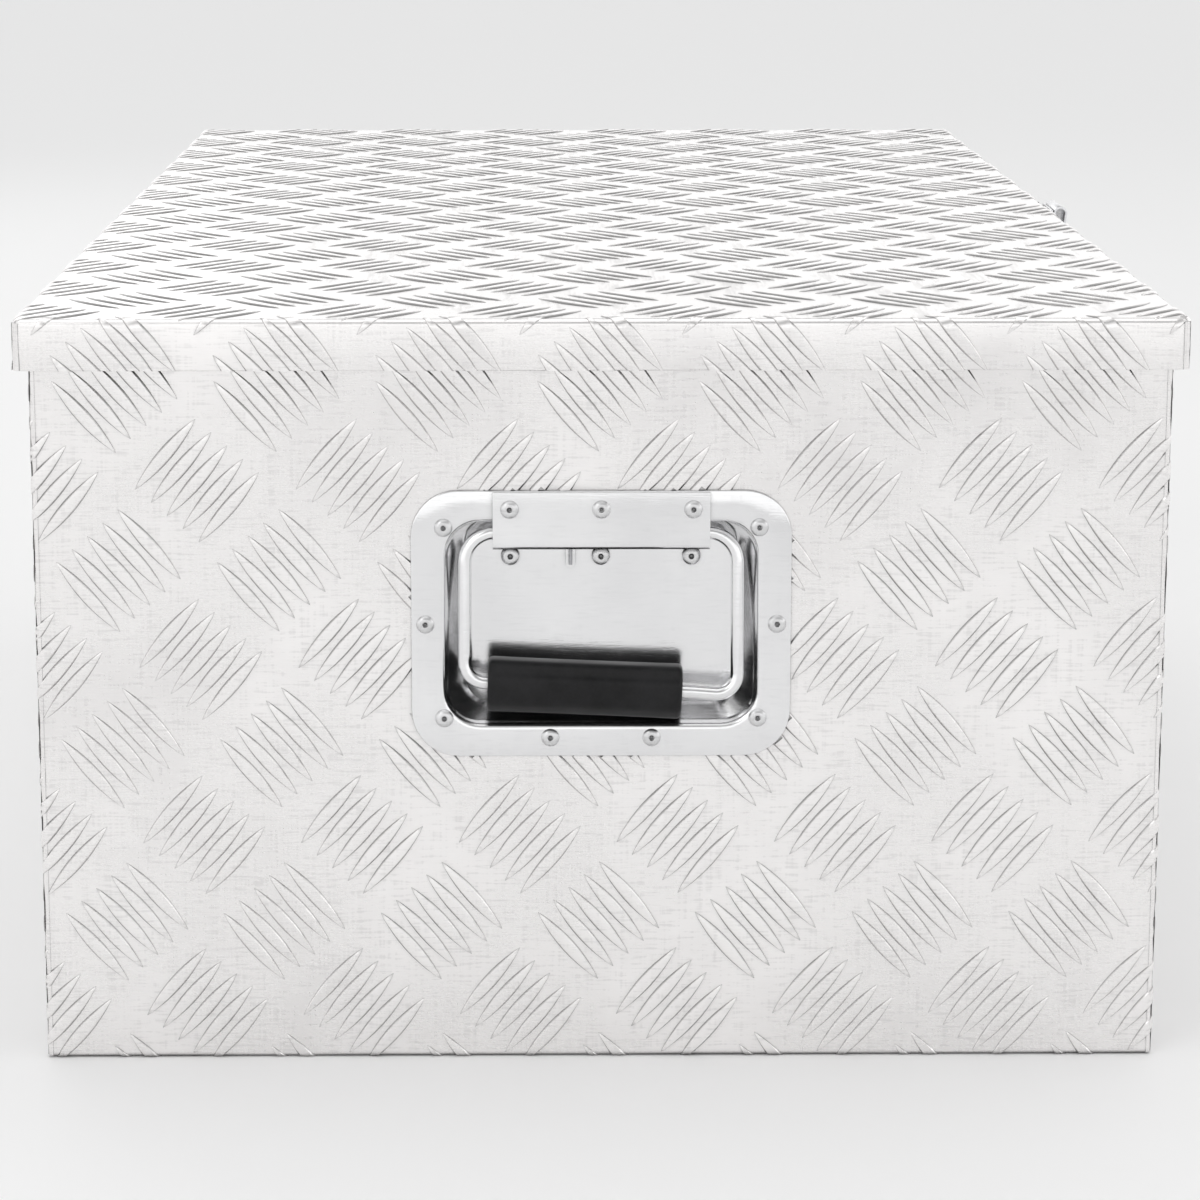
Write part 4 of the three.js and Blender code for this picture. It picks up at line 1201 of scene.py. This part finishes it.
def build_latch_claw():
    curl_x, curl_z, r, t, hook = 258.2, 326.0, 3.6, 1.2, 6.0
    angle = math.degrees(math.atan2(curl_z - LINK_Z, curl_x + r - LINK_X - 2))
    lean = 90 - angle
    outer = arc(curl_x, curl_z, r, -lean, 180, 20)
    inner = arc(curl_x, curl_z, r - t, 180, -lean, 16)
    foot = [(LINK_X + 2.6, LINK_Z + 2.2)]
    back = [(LINK_X + 0.8, LINK_Z + 3.2)]
    tip = curl_z - hook
    strip = foot + outer + [(curl_x - r, tip + 0.5), (curl_x - r + t / 2, tip), (curl_x - r + t, tip + 0.5)]
    strip += inner + back
    shape = prism(strip, lay_xz, -CLAW_HALF, CLAW_HALF)
    # the knuckle that turns on the link pin
    knuckle = circle(LINK_X, LINK_Z, 3.9, 28)
    shape.merge(prism(knuckle, lay_xz, -CLAW_HALF, CLAW_HALF, [circle(LINK_X, LINK_Z, 2.4)]))
    shape.piece("latch_hook", "latch_claw", "bright_steel", "latch_claw", bevel=0.18)


def build_latch_pins():
    link = pin(LINK_X, LINK_Z, -20.9, 20.9, PIN_RADIUS)
    link.merge(pin(LINK_X, LINK_Z, -21.2, -20.4, 2.9)).merge(pin(LINK_X, LINK_Z, 20.4, 21.2, 2.9))
    link.piece("link_rivet", "latch_lever", "bright_steel", "latch_link_pin")
    for tag, side in (("near", -1), ("far", 1)):
        shape = Shape()
        for start, end, radius in ((17.6, 23.5, PIN_RADIUS), (17.6, 18.4, 3.3), (23.0, 24.2, 3.5)):
            shape.merge(pin(PIVOT_X, PIVOT_Z, *sorted((side * start, side * end)), radius))
        shape.piece(f"pivot_rivet_{tag}", "box", "bright_steel", f"latch_pivot_{tag}")


def build_keeper():
    x0 = LID_X + 0.2
    keeper = prism([(y, z + 318.25) for y, z in round_rect(20, 8.75, 2.5, 5)], lay_yz, x0, x0 + 1)
    lip = [(x0 + 0.6, 316.5)] + arc(253.0, 317.7, 1.2, -90, 0, 5)
    lip += [(254.2, 327.6), (253.8, 328), (253.4, 327.8), (253.2, 327.4)]
    lip += [(253.2, 318.0), (252.7, 317.5), (x0 + 0.6, 317.5)]
    keeper.merge(prism(lip, lay_xz, -CLAW_HALF, CLAW_HALF))
    keeper.piece("keeper_strike", "lid", "bright_steel", "latch_keeper", bevel=0.15)
    for i, y in enumerate((-13, 13)):
        rivet((x0 + 1.02, y, 312.8), (1, 0, 0), 2.9, 0.78, 2.4).piece(
            f"keeper_rivet_{i + 1}", "lid", "rivet_alloy", f"rivet_keeper_{i + 1}")


# ---------------------------------------------------------------- all of it

add_camera()
add_studio()
add_floor()
build_lid()
build_seal()
build_body()
build_welds()
build_handles()
build_handle_rivets()
build_hinge()
build_stays()
build_latch_base()
build_latch_lever()
build_latch_claw()
build_latch_pins()
build_keeper()
